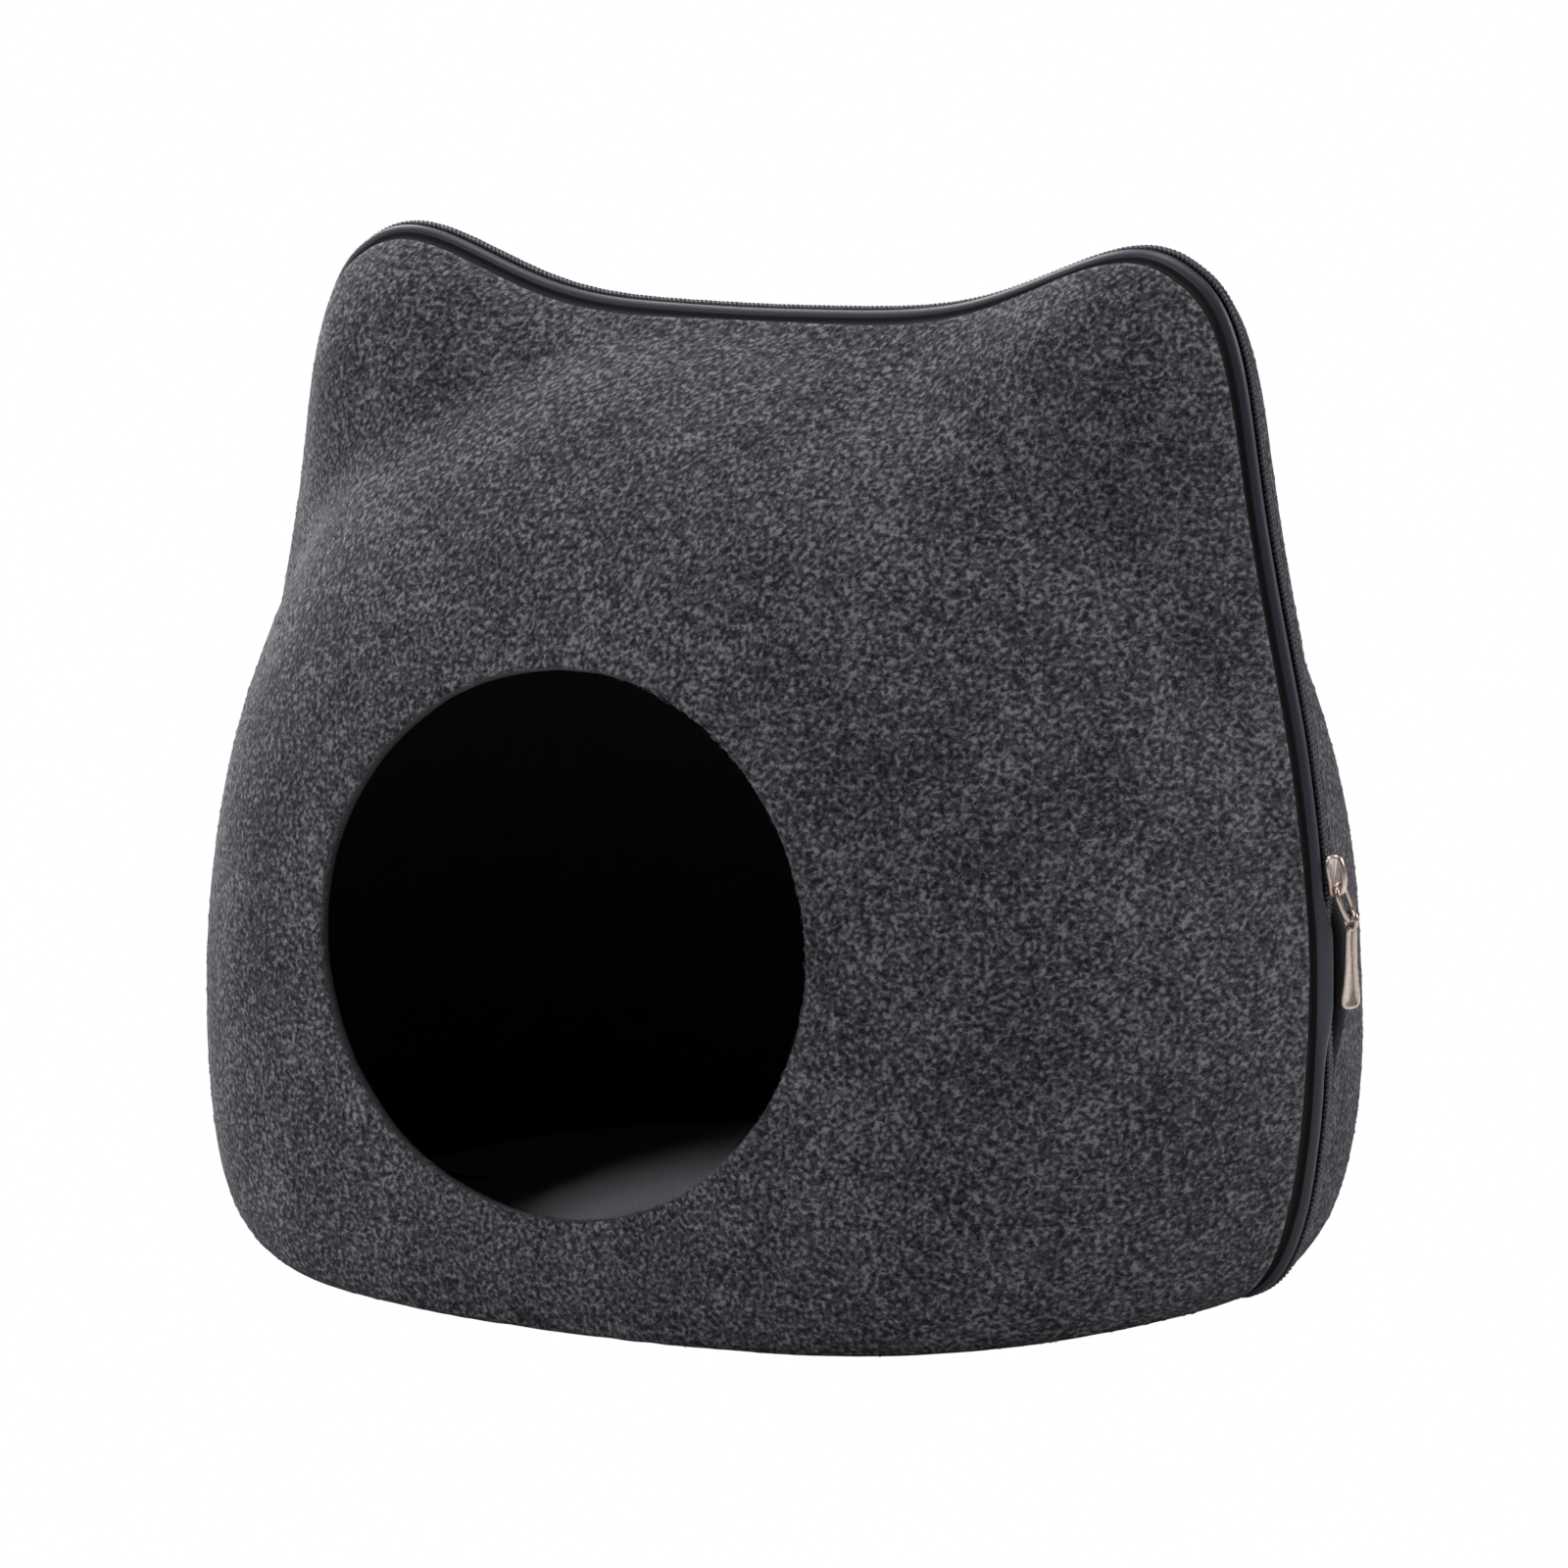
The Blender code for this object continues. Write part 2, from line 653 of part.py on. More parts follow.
def make_hinge(parts, cloth):
    """A woven strip between the two felt edges, flat on the surface."""
    low_y, high_y = FRONT_EDGE_Y + CLEARANCE, BACK_EDGE_Y - CLEARANCE
    shape = bmesh.new()
    bmesh.ops.create_cube(shape, size=1.0)
    size = (2.0 * HINGE_HALF_LENGTH, high_y - low_y, HINGE_THICKNESS)
    bmesh.ops.scale(shape, vec=size, verts=shape.verts)
    centre = (0.0, 0.5 * (low_y + high_y), 0.5 * HINGE_THICKNESS)
    bmesh.ops.translate(shape, vec=centre, verts=shape.verts)
    hinge = object_from_bmesh("base_hinge", shape, parts, cloth)
    bevel = hinge.modifiers.new("Bevel", "BEVEL")
    bevel.width = HINGE_EDGE
    bevel.segments = BEVEL_SEGMENTS
    return hinge


def make_lining(parts, cloth):
    """A flat sheet on the moulded floor."""
    shape = bmesh.new()
    ring = []
    for step in range(LINING_POINTS):
        turn = 2.0 * math.pi * step / LINING_POINTS
        across, along = math.cos(turn), math.sin(turn)
        reach = LINING_BACK if along > 0.0 else LINING_FRONT
        x = LINING_HALF_WIDTH * math.copysign(abs(across) ** (2.0 / LINING_ROUNDING), across)
        y = reach * math.copysign(abs(along) ** (2.0 / LINING_ROUNDING), along)
        ring.append(shape.verts.new((x, y, FELT + CLEARANCE)))
    shape.faces.new(ring)
    bmesh.ops.recalc_face_normals(shape, faces=shape.faces)
    top = bmesh.ops.extrude_face_region(shape, geom=shape.faces[:])
    raised = [item for item in top["geom"] if isinstance(item, bmesh.types.BMVert)]
    bmesh.ops.translate(shape, vec=(0.0, 0.0, LINING_THICKNESS), verts=raised)
    bmesh.ops.recalc_face_normals(shape, faces=shape.faces)
    return object_from_bmesh("floor_lining", shape, parts, cloth)


def main():
    clear_scene()
    parts = new_collection("felt_cat_cave")
    cutters = new_collection("cutters")
    felt = new_material("charcoal_felt", (0.075, 0.074, 0.083), 0.95)
    satin = new_material("satin_tape", (0.055, 0.054, 0.066), 0.45)
    nylon = new_material("coil_nylon", (0.028, 0.028, 0.033), 0.5)
    cloth = new_material("lining_cloth", (0.045, 0.045, 0.050), 0.8)
    metal = new_material("warm_nickel", (0.62, 0.55, 0.50), 0.25, 1.0)

    front_slab = trim_slab("front_trim", FRONT_EDGE_Y, -1, cutters)
    back_slab = trim_slab("back_trim", BACK_EDGE_Y, 1, cutters)
    make_shell("front_shell", -1, FRONT_DEPTH, FRONT_LOFT_START, True, front_slab, parts, felt)
    make_shell("back_shell", 1, BACK_DEPTH, BACK_LOFT_START, False, back_slab, parts, felt)

    make_chain_piece("front_tape", FRONT_TAPE_SECTION, -1, parts, satin)
    make_chain_piece("back_tape", BACK_TAPE_SECTION, 1, parts, cloth)
    make_chain_piece("coil_front", mirrored_section(COIL_ROW_SECTION), -1, parts, nylon)
    make_chain_piece("coil_back", COIL_ROW_SECTION, 1, parts, nylon)

    make_slider(parts, cutters, metal)
    make_link(parts, metal)
    make_tab(parts, cutters, metal)
    make_hinge(parts, cloth)
    make_lining(parts, cloth)


main()
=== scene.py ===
"""Felt cat cave: the looks of its felt, zip and pull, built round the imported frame.

Metres, in the frame's axes: X is the width, the doorway faces -Y and Z is up.
"""

import json
import math

import bmesh
import bpy
import numpy as np
from bpy.props import FloatProperty, FloatVectorProperty, IntProperty, PointerProperty
from mathutils import Matrix, Vector, noise

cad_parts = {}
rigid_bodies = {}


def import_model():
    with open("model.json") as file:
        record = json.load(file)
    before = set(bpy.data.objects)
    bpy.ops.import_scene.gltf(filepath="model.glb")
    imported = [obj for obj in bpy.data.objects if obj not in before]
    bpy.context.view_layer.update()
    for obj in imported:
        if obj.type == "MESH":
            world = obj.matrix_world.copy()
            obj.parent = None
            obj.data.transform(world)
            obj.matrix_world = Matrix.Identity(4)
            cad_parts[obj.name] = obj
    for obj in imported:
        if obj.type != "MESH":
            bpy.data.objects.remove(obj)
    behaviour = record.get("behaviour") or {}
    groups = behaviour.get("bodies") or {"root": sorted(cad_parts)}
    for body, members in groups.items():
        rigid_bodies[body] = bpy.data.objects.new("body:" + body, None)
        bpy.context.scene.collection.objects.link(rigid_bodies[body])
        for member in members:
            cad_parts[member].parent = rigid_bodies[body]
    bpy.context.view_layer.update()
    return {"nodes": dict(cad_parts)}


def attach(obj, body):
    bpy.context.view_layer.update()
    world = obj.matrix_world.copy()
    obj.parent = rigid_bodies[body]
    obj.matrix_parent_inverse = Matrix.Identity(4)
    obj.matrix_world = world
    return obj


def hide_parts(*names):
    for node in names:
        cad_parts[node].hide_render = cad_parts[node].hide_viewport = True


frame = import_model()

bl_info = {
    "name": "Felt cat cave",
    "version": (1, 0, 0),
    "blender": (4, 5, 0),
    "location": "View3D > Sidebar > Cave",
    "description": "Builds a moulded felt cat cave with its zip, pull and floor lining",
    "category": "Object",
}

MM = 0.001

# ---- The head's form, as in the solids ----

HUB_HEIGHT = 0.091
BODY_HALF_WIDTH = 0.230
BODY_RISE = 0.265
BODY_DROP = 0.263
BODY_ROUNDING_ABOVE = 2.35
BODY_ROUNDING_BELOW = 2.0
EAR_ANGLE = 58.0
EAR_REACH = 0.076
EAR_OUTER_SPREAD = 11.9
EAR_OUTER_POWER = 2.0
EAR_INNER_SPREAD = 10.5
EAR_INNER_POWER = 2.74
BASE_ROUNDING = 0.051
FRONT_DEPTH = 0.168
BACK_DEPTH = 0.185
FACE_FLATNESS_SIDE = 3.8
FACE_FLATNESS_TOP = 3.4
FACE_FLATNESS_BASE = 4.6
BODY_CREST = 1.52
EAR_DEPTH_SHARE = 0.51
EAR_FLATNESS = 4.2
EAR_CREST = 1.48
BLEND_POWER = 4.0

FELT = 4.0 * MM
DOORWAY_HALF_WIDTH = 0.1022
DOORWAY_HALF_HEIGHT = 0.1004
DOORWAY_HEIGHT = 0.144
DOORWAY_WOBBLE = 0.5 * MM
BACK_EDGE_Y = 0.0055
FRONT_GRID = (620, 70)      # faces round the doorway and in from the zip
BACK_GRID = (208, 208)
DENT_SPAN = 0.060           # long and short distances of the moulded face's unevenness
RIPPLE_SPAN = 0.011

# Loose fibres, least and most in mm
FIBRE_LENGTHS = (1.4, 4.0)
FIBRE_WIDTHS = (0.22, 0.48)
FIBRE_LIFTS = (0.05, 0.35)
RIM_FIBRES = 2200
RIM_FIBRE_LENGTHS = (1.0, 3.2)
RIM_FIBRE_WIDTHS = (0.12, 0.24)
RIM_FIBRE_LIFTS = (0.1, 1.1)
FIBRE_LOWEST = 0.8 * MM

# The front felt's edge wanders a little beside the zip: (degrees round the outline, distance)
FRONT_EDGE_WANDER = (
    (-90.0, 14.5), (-17.0, 15.6), (-4.0, 14.4), (4.0, 12.9), (10.0, 12.1), (15.0, 12.5),
    (22.0, 13.3), (32.0, 12.9), (54.0, 12.9), (77.0, 15.4), (90.0, 13.6), (103.0, 14.8),
    (140.0, 14.0), (185.0, 14.9), (270.0, 14.5),
)

# Zip
CHAIN_END_X = 0.140
ZIP_LIFT_OFF = 0.5 * MM
SLIDER_ANGLE = 17.1
GAPE_START = 3.0 * MM       # below the slider's centre
GAPE_LENGTH = 76.0 * MM
GAPE_OPENING = 0.25         # share of its length over which it opens
GAPE_CLOSING = 0.42
GAPE_FRONT = 0.9 * MM
GAPE_BACK = 4.2 * MM
GAPE_BULGE = 2.6 * MM       # the back edge also stands outwards there
GAPE_REACH = 38.0 * MM      # and the felt follows over this depth
GAPE_SAG = 0.6 * MM         # the front row drops under the band's flap
GAPE_SINK = 2.5 * MM        # and the back row sinks behind the felt's edge

TAPE_THICKNESS = 0.5 * MM
COIL_HEAD = -0.4 * MM       # across, from the line where the rows mesh
COIL_HEEL = 2.5 * MM
COIL_FOOT = -1.1 * MM
COIL_CREST = 1.2 * MM
COIL_TURN_POINTS = 10
TAPE_COLUMNS = 640          # faces along each tape
BAND_ROWS = 36
BACK_TAPE_ROWS = 14

# Lines across the zip in mm: across and lift where it is closed, then where it gapes
BAND_LINE = (
    (-14.2, -2.0, -14.2, -2.0),
    (-12.0, -2.1, -12.0, -2.1),
    (-9.4, -1.9, -9.2, -1.9),
    (-8.9, -0.8, -8.6, -0.8),
    (-8.2, 0.3, -7.8, 0.1),
    (-7.0, 1.1, -5.8, 0.9),
    (-5.7, 1.2, -3.9, 1.6),
    (-4.6, 0.6, -2.2, 2.0),
    (-4.1, -0.4, -1.7, 1.6),
    (-3.8, -1.3, -1.9, 0.6),
    (-2.4, -1.6, -2.1, -0.7),
    (-0.5, -1.6, -0.7, -1.6),
)
BAND_PAINTED_SHADE = ((0.0, 0.39), (0.79, 1.0))    # shares across the band given a near-black finish: painted shade of the grooves and flank beside the satin roll
BACK_TAPE_LINE = (
    (0.5, -1.7, 4.4, -4.3),
    (2.4, -1.7, 6.2, -4.0),
    (4.0, -1.7, 7.8, -3.5),
    (4.9, -2.3, 9.0, -3.2),
    (5.3, -4.0, 9.7, -3.4),
    (6.4, -5.0, 10.6, -3.7),
    (9.0, -5.1, 12.4, -3.9),
    (12.0, -5.1, 15.0, -4.2),
)

# Slider, along and half width in mm from the notch at its head to its tail
PLATE_OUTLINE = (
    (-6.6, 0.0), (-7.8, 2.0), (-7.2, 4.2), (-5.0, 5.3), (-1.8, 5.2), (3.2, 4.0), (6.6, 3.6),
    (7.8, 2.2), (8.0, 0.0),
)
PLATE_UNDERSIDE = 1.7 * MM
PLATE_TOP = 3.1 * MM
PLATE_ROUNDING = 0.5 * MM
PLATE_RIM = 0.7 * MM
PLATE_DISH = 0.35 * MM
BRIDGE_HALF_SPAN = 7.0 * MM
BRIDGE_CREST = 6.8 * MM
BRIDGE_STRAP = 1.8 * MM
BRIDGE_WIDTH = 3.4 * MM

# Link and tab
LINK_START_X = 4.6 * MM
LINK_LEVEL = 4.2 * MM
LINK_LENGTH = 13.2 * MM
LINK_WIDTH = 7.6 * MM
LINK_SQUARENESS = 3.2
LINK_WIRE = 2.2 * MM
LINK_SWING = 18.0
LINK_TILT = 10.0
EYE_DIAMETER = 5.8 * MM
EYE_WIRE = 2.2 * MM
TAB_TWIST = 28.0
TAB_OUTLINE = (
    (0.0, 0.0), (0.2, 1.6), (1.0, 2.4), (4.0, 2.6), (13.0, 2.8), (20.0, 3.4), (26.5, 4.3),
    (29.4, 4.1), (30.8, 2.7), (31.2, 0.0),
)
TAB_THICKNESS = 1.5 * MM
TAB_ROUNDING = 0.55 * MM
TAB_RIM = 0.9 * MM
TAB_DISH = 0.25 * MM

# Camera: the photographed view, solved for a long lens
CAMERA_AZIMUTH = 28.8
CAMERA_ELEVATION = 9.566
CAMERA_ROLL = -0.411
CAMERA_DISTANCE = 2.274
CAMERA_TARGET = (0.0042, 0.0, 0.1791)
SENSOR_WIDTH = 36.0
FOCAL_LENGTH = 135.6

# Soft lights: name, azimuth, elevation, share of the light's power, side in metres
LIGHT_DISTANCE = 2.0
LIGHT_AIM = 0.18
LIGHT_LOWEST = 0.45
SOFTBOXES = (
    ("rear_left_high_light", -120.0, 45.0, 0.86, 0.8),
    ("rear_left_low_light", -120.0, 4.0, 0.96, 0.8),
    ("front_left_low_light", -60.0, 4.0, 0.43, 0.8),
    ("top_light", 0.0, 89.0, 0.72, 0.8),
    ("right_high_light", 90.0, 65.0, 0.14, 0.8),
    ("rear_right_light", 120.0, 25.0, 0.70, 0.8),
    ("front_light", -7.0, 35.0, 0.33, 0.35),
)


# ---- Settings that a user would change ----

def linear(code):
    """An sRGB hex colour as linear red, green and blue."""
    shares = [int(code[start:start + 2], 16) / 255.0 for start in (1, 3, 5)]
    return tuple(s / 12.92 if s <= 0.04045 else ((s + 0.055) / 1.055) ** 2.4 for s in shares)


def colour_setting(name, description, code):
    return FloatVectorProperty(name=name, description=description, subtype="COLOR",
                               size=3, min=0.0, max=1.0, default=linear(code))


def length_setting(name, description, millimetres):
    return FloatProperty(name=name, description=description, default=millimetres * MM,
                         min=0.0, precision=5, subtype="DISTANCE", unit="LENGTH")


class FeltSettings(bpy.types.PropertyGroup):
    strand: colour_setting("Strand", "Light fibres of the heather felt", "#8f8d94")
    ground: colour_setting("Ground", "Middle grey of the felt", "#504f55")
    # pit: painted shade in the hollows between the fibre bundles
    pit: colour_setting("Pit", "Dark hollows between the fibres", "#252428")
    cut: colour_setting("Cut edge", "Die-cut edge of the felt", "#47464a")
    inside: colour_setting("Inside", "Smooth lining face of the felt", "#38383a")
    lining: colour_setting("Lining", "Smooth cloth on the floor", "#e2dfec")
    loose: colour_setting("Loose fibre", "Palest of the loose fibres", "#8d8b92")
    fibres: IntProperty(name="Fibres", description="Loose fibres on each half",
                        default=6500, min=0)
    strand_pitch: length_setting("Strand pitch", "Spacing of the fibre bundles that show", 1.8)
    dent: length_setting("Dent", "Unevenness of the moulded face", 0.5)


class ZipSettings(bpy.types.PropertyGroup):
    satin: colour_setting("Satin", "Rolled satin band", "#353442")
    # ground: near-black painted shade for the grooves and front flank beside the satin roll
    ground: colour_setting("Ground", "Plain weave beside the satin", "#0e0e11")
    tape: colour_setting("Tape", "Plain woven tape", "#141417")
    nylon: colour_setting("Nylon", "Coil of the zip", "#4c4b54")
    metal: colour_setting("Metal", "Warm nickel plating", "#eddcd2")
    coil_pitch: length_setting("Coil pitch", "Length of chain for each turn of a row", 1.9)
    coil_wire: length_setting("Coil wire", "Thickness of the nylon wire", 1.8)


class StageSettings(bpy.types.PropertyGroup):
    floor: colour_setting("Floor", "Pale matt floor", "#f4f3f2")
    floor_radius: length_setting("Floor radius", "Reach of the floor", 1600.0)
    light: FloatProperty(name="Light", description="Power of a softbox with a share of one",
                         default=20.0, min=0.0, unit="POWER")
    surround: FloatProperty(name="Surround", description="Strength of the room's white walls",
                            default=0.0, min=0.0)


# ---- Form, worked out for many points at once ----

def body_radius(angle):
    below = np.sin(angle) < 0.0
    rise = np.where(below, BODY_DROP, BODY_RISE)
    rounding = np.where(below, BODY_ROUNDING_BELOW, BODY_ROUNDING_ABOVE)
    across = np.abs(np.cos(angle)) / BODY_HALF_WIDTH
    upward = np.abs(np.sin(angle)) / rise
    return (across ** rounding + upward ** rounding) ** (-1.0 / rounding)


def ear_bell(offset_degrees):
    outer = offset_degrees < 0.0
    spread = np.where(outer, EAR_OUTER_SPREAD, EAR_INNER_SPREAD)
    power = np.where(outer, EAR_OUTER_POWER, EAR_INNER_POWER)
    return EAR_REACH / (1.0 + np.abs(offset_degrees / spread) ** power)


def rim_radius(angle):
    from_side = np.degrees(np.arctan2(np.sin(angle), np.abs(np.cos(angle))))
    ears = ear_bell(from_side - EAR_ANGLE) + ear_bell(180.0 - from_side - EAR_ANGLE)
    return body_radius(angle) + ears


def press_to_floor(height):
    turned = (np.maximum(height, -BASE_ROUNDING) + BASE_ROUNDING) ** 2 / (4.0 * BASE_ROUNDING)
    return np.where(height >= BASE_ROUNDING, height, turned)


def unpress(height):
    turned = 2.0 * np.sqrt(BASE_ROUNDING * np.maximum(height, 0.0)) - BASE_ROUNDING
    return np.where(height >= BASE_ROUNDING, height, turned)


def depth_at(angle, radius, shell_depth):
    """Distance of the moulded face from the zip plane."""
    upward = np.sin(angle)
    to_top = FACE_FLATNESS_TOP - FACE_FLATNESS_SIDE
    to_base = FACE_FLATNESS_BASE - FACE_FLATNESS_SIDE
    flatness = FACE_FLATNESS_SIDE + to_top * np.maximum(upward, 0.0)
    flatness = flatness + to_base * np.maximum(-upward, 0.0)
    body_share = np.maximum(1.0 - (radius / body_radius(angle)) ** flatness, 0.0)
    ear_share = np.maximum(1.0 - (radius / rim_radius(angle)) ** EAR_FLATNESS, 0.0)
    body = shell_depth * body_share ** (1.0 / BODY_CREST)
    ear = shell_depth * EAR_DEPTH_SHARE * ear_share ** (1.0 / EAR_CREST)
    return (body ** BLEND_POWER + ear ** BLEND_POWER) ** (1.0 / BLEND_POWER)


def radius_at(angle, depth, shell_depth):
    """The radius where the face is this far from the zip plane, by halving."""
    inner, outer = 0.5 * rim_radius(angle), rim_radius(angle)
    for _ in range(36):
        middle = 0.5 * (inner + outer)
        deeper = depth_at(angle, middle, shell_depth) > depth
        inner, outer = np.where(deeper, middle, inner), np.where(deeper, outer, middle)
    return outer


def face_points(x, plan_height, side, shell_depth):
    """Points of the moulded face over places in the unpressed outline's plan."""
    angle = np.arctan2(plan_height - HUB_HEIGHT, x)
    radius = np.hypot(x, plan_height - HUB_HEIGHT)
    depth = depth_at(angle, radius, shell_depth)
    return np.stack([x, side * depth, press_to_floor(plan_height)], axis=-1)


def rim_places(angle):
    radius = rim_radius(angle)
    height = press_to_floor(HUB_HEIGHT + radius * np.sin(angle))
    return np.stack([radius * np.cos(angle), np.zeros_like(angle), height], axis=-1)


def rim_tangents(angle, step=0.002):
    slope = rim_places(angle + step) - rim_places(angle - step)
    return slope / np.linalg.norm(slope, axis=-1, keepdims=True)


def rim_normals(angle):
    """Outward directions of the outline in the zip plane."""
    tangent = rim_tangents(angle)
    return np.stack([tangent[..., 2], np.zeros_like(angle), -tangent[..., 0]], axis=-1)


def travel(points):
    """Length travelled from the first point to each of the points."""
    steps = np.linalg.norm(np.diff(points, axis=0), axis=1)
    return np.concatenate([[0.0], np.cumsum(steps)])


def even_angles(first, last, count):
    """Angles at even lengths along the pressed outline."""
    fine = np.linspace(first, last, 6001)
    travelled = travel(rim_places(fine))
    return np.interp(np.linspace(0.0, travelled[-1], count), travelled, fine), travelled[-1]


def zip_points(angle, across, lift):
    """Points beside the zip: across it in Y, and lifted off the moulded face's line."""
    shell_depth = np.where(across < 0.0, FRONT_DEPTH, BACK_DEPTH)
    radius = radius_at(angle, np.abs(across), shell_depth)
    outward = rim_normals(angle)
    x = radius * np.cos(angle) + outward[..., 0] * lift
    z = press_to_floor(HUB_HEIGHT + radius * np.sin(angle)) + outward[..., 2] * lift
    return np.stack([x, across + np.zeros_like(x), np.maximum(z, ZIP_LIFT_OFF)], axis=-1)


def chain_span():
    """First and last angle of the zip, from its right end under the base to its left end."""
    end = -math.pi / 2.0
    while rim_places(np.array(end))[0] < CHAIN_END_X:
        end += 0.0005
    return end, math.pi - end


def gape_share(angle):
    """How far the two sides stand apart, from 0 to 1.

    They open fast below the slider and close slowly.
    """
    slider = math.radians(SLIDER_ANGLE)
    reach = float(rim_radius(np.array(slider)))
    below = ((slider - angle) * reach - GAPE_START) / GAPE_LENGTH
    opening = np.clip(below / GAPE_OPENING, 0.0, 1.0)
    closing = np.clip((1.0 - below) / GAPE_CLOSING, 0.0, 1.0)
    return (3.0 - 2.0 * opening) * opening ** 2 * (3.0 - 2.0 * closing) * closing ** 2


def front_edge(angle):
    """Distance of the front felt's edge from the zip plane."""
    knots = np.array(FRONT_EDGE_WANDER)
    place = np.interp(np.degrees(angle), knots[:, 0], np.arange(len(knots)))
    knot = np.minimum(place.astype(int), len(knots) - 2)
    share = 0.5 - 0.5 * np.cos(math.pi * (place - knot))
    return (knots[knot, 1] * (1.0 - share) + knots[knot + 1, 1] * share) * MM


# ---- Mesh helpers ----

def settings():
    return bpy.context.scene.cave_felt, bpy.context.scene.cave_zip


def new_piece(name, mesh, materials):
    piece = bpy.data.objects.new(name, mesh)
    bpy.context.scene.collection.objects.link(piece)
    for material in materials:
        mesh.materials.append(material)
    return piece


def grid_mesh(name, columns, rows, place, merge=False):
    """A grid whose points are moved by place(u, v), u along the columns and v along the rows.

    The piece's UV map keeps u and v, so that a pattern can follow the surface.
    """
    shape = bmesh.new()
    bmesh.ops.create_grid(shape, x_segments=columns, y_segments=rows, size=0.5)
    shape.verts.ensure_lookup_table()
    layer = shape.loops.layers.uv.new("UVMap")
    for face in shape.faces:
        for loop in face.loops:
            loop[layer].uv = (loop.vert.co.x + 0.5, loop.vert.co.y + 0.5)
    flat = np.array([vertex.co[:2] for vertex in shape.verts]) + 0.5
    placed = place(flat[:, 0], flat[:, 1])
    for vertex, point in zip(shape.verts, placed):
        vertex.co = point
    if merge:
        bmesh.ops.remove_doubles(shape, verts=shape.verts, dist=0.01 * MM)
    shape.normal_update()
    mesh = bpy.data.meshes.new(name)
    shape.to_mesh(mesh)
    shape.free()
    mesh.shade_smooth()
    return mesh


def turn_outwards(mesh):
    """Flip an open skin whose highest face points down."""
    highest = max(mesh.polygons, key=lambda face: face.center.z)
    if highest.normal.z < 0.0:
        mesh.flip_normals()


def add_modifier(piece, kind, **values):
    modifier = piece.modifiers.new(kind.title(), kind)
    for name, value in values.items():
        setattr(modifier, name, value)
    return modifier


def swept_wire(name, points, thickness, closed=False, sides=8):
    """A round wire along the points, as one closed skin."""
    curve = bpy.data.curves.new(name, "CURVE")
    curve.dimensions = "3D"
    curve.bevel_depth = 0.5 * thickness
    curve.bevel_resolution = max(sides // 2 - 2, 0)
    curve.use_fill_caps = True
    spline = curve.splines.new("POLY")
    spline.points.add(len(points) - 1)
    spline.points.foreach_set("co", np.hstack([points, np.ones((len(points), 1))]).ravel())
    spline.use_cyclic_u = closed
    path = bpy.data.objects.new(name + "_path", curve)
    bpy.context.scene.collection.objects.link(path)
    bpy.context.view_layer.update()
    evaluated = path.evaluated_get(bpy.context.evaluated_depsgraph_get())
    mesh = bpy.data.meshes.new_from_object(evaluated)
    bpy.data.objects.remove(path, do_unlink=True)
    mesh.materials.clear()
    mesh.shade_smooth()
    return mesh


def hand_over(piece, slot, *nodes):
    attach(piece, "root")
    if nodes:
        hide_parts(*nodes)


# ---- Materials ----

def add_node(tree, kind, values=None, links=None, **own):
    """Add a node with its own settings, its inputs' values, and links into its inputs."""
    node = tree.nodes.new(kind)
    for name, value in own.items():
        setattr(node, name, value)
    for name, value in (values or {}).items():
        node.inputs[name].default_value = value
    for name, source in (links or {}).items():
        tree.links.new(source, node.inputs[name])
    return node


def new_material(name):
    material = bpy.data.materials.new(name)
    material.use_nodes = True
    tree = material.node_tree
    shader = tree.nodes["Principled BSDF"]
    return material, tree, shader


def add_ramp(tree, source, stops):
    """A colour ramp from (position, colour) pairs."""
    ramp = add_node(tree, "ShaderNodeValToRGB", links={"Fac": source})
    while len(ramp.color_ramp.elements) < len(stops):
        ramp.color_ramp.elements.new(0.5)
    for element, (position, colour) in zip(ramp.color_ramp.elements, stops):
        element.position = position
        element.color = (*colour, 1.0)
    return ramp.outputs["Color"]


def shade(colour, share):
    """A colour made darker or lighter."""
    return tuple(min(share * part, 1.0) for part in colour)


def per_metre(millimetres):
    """Noise scale for features of this size."""
    return 1.0 / (millimetres * MM)


def felt_strands(tree, pitch):
    """Height of curled fibre bundles, from 0 in the pits between them to 1 on the strands.

    Moulding has drawn them out in the shells' depth.
    """
    place = add_node(tree, "ShaderNodeTexCoord").outputs["Object"]
    drawn = add_node(tree, "ShaderNodeMapping", {"Scale": (1.0, 0.55, 1.0)}, {"Vector": place})
    curl = add_node(tree, "ShaderNodeTexNoise",
                    {"Scale": 1.0 / pitch, "Detail": 1.6, "Roughness": 0.5, "Distortion": 0.3},
                    {"Vector": drawn.outputs["Vector"]})
    # the middle of a second noise is drawn as thin winding ridges
    lay = add_node(tree, "ShaderNodeMapping", {"Rotation": (0.9, 0.4, 1.3)},
                   {"Vector": drawn.outputs["Vector"]})
    wind = add_node(tree, "ShaderNodeTexNoise",
                    {"Scale": 0.8 / pitch, "Detail": 1.0, "Roughness": 0.4, "Distortion": 0.3},
                    {"Vector": lay.outputs["Vector"]})
    centred = add_node(tree, "ShaderNodeMath", {1: 0.5}, {0: wind.outputs["Fac"]},
                       operation="SUBTRACT")
    away = add_node(tree, "ShaderNodeMath", None, {0: centred.outputs[0]}, operation="ABSOLUTE")
    ridge = add_node(tree, "ShaderNodeMapRange",
                     {"From Max": 0.09, "To Min": 0.07, "To Max": 0.0},
                     {"Value": away.outputs[0]}, interpolation_type="SMOOTHSTEP")
    height = add_node(tree, "ShaderNodeMath", None,
                      {0: curl.outputs["Fac"], 1: ridge.outputs["Result"]}, operation="ADD")
    return place, height.outputs[0]


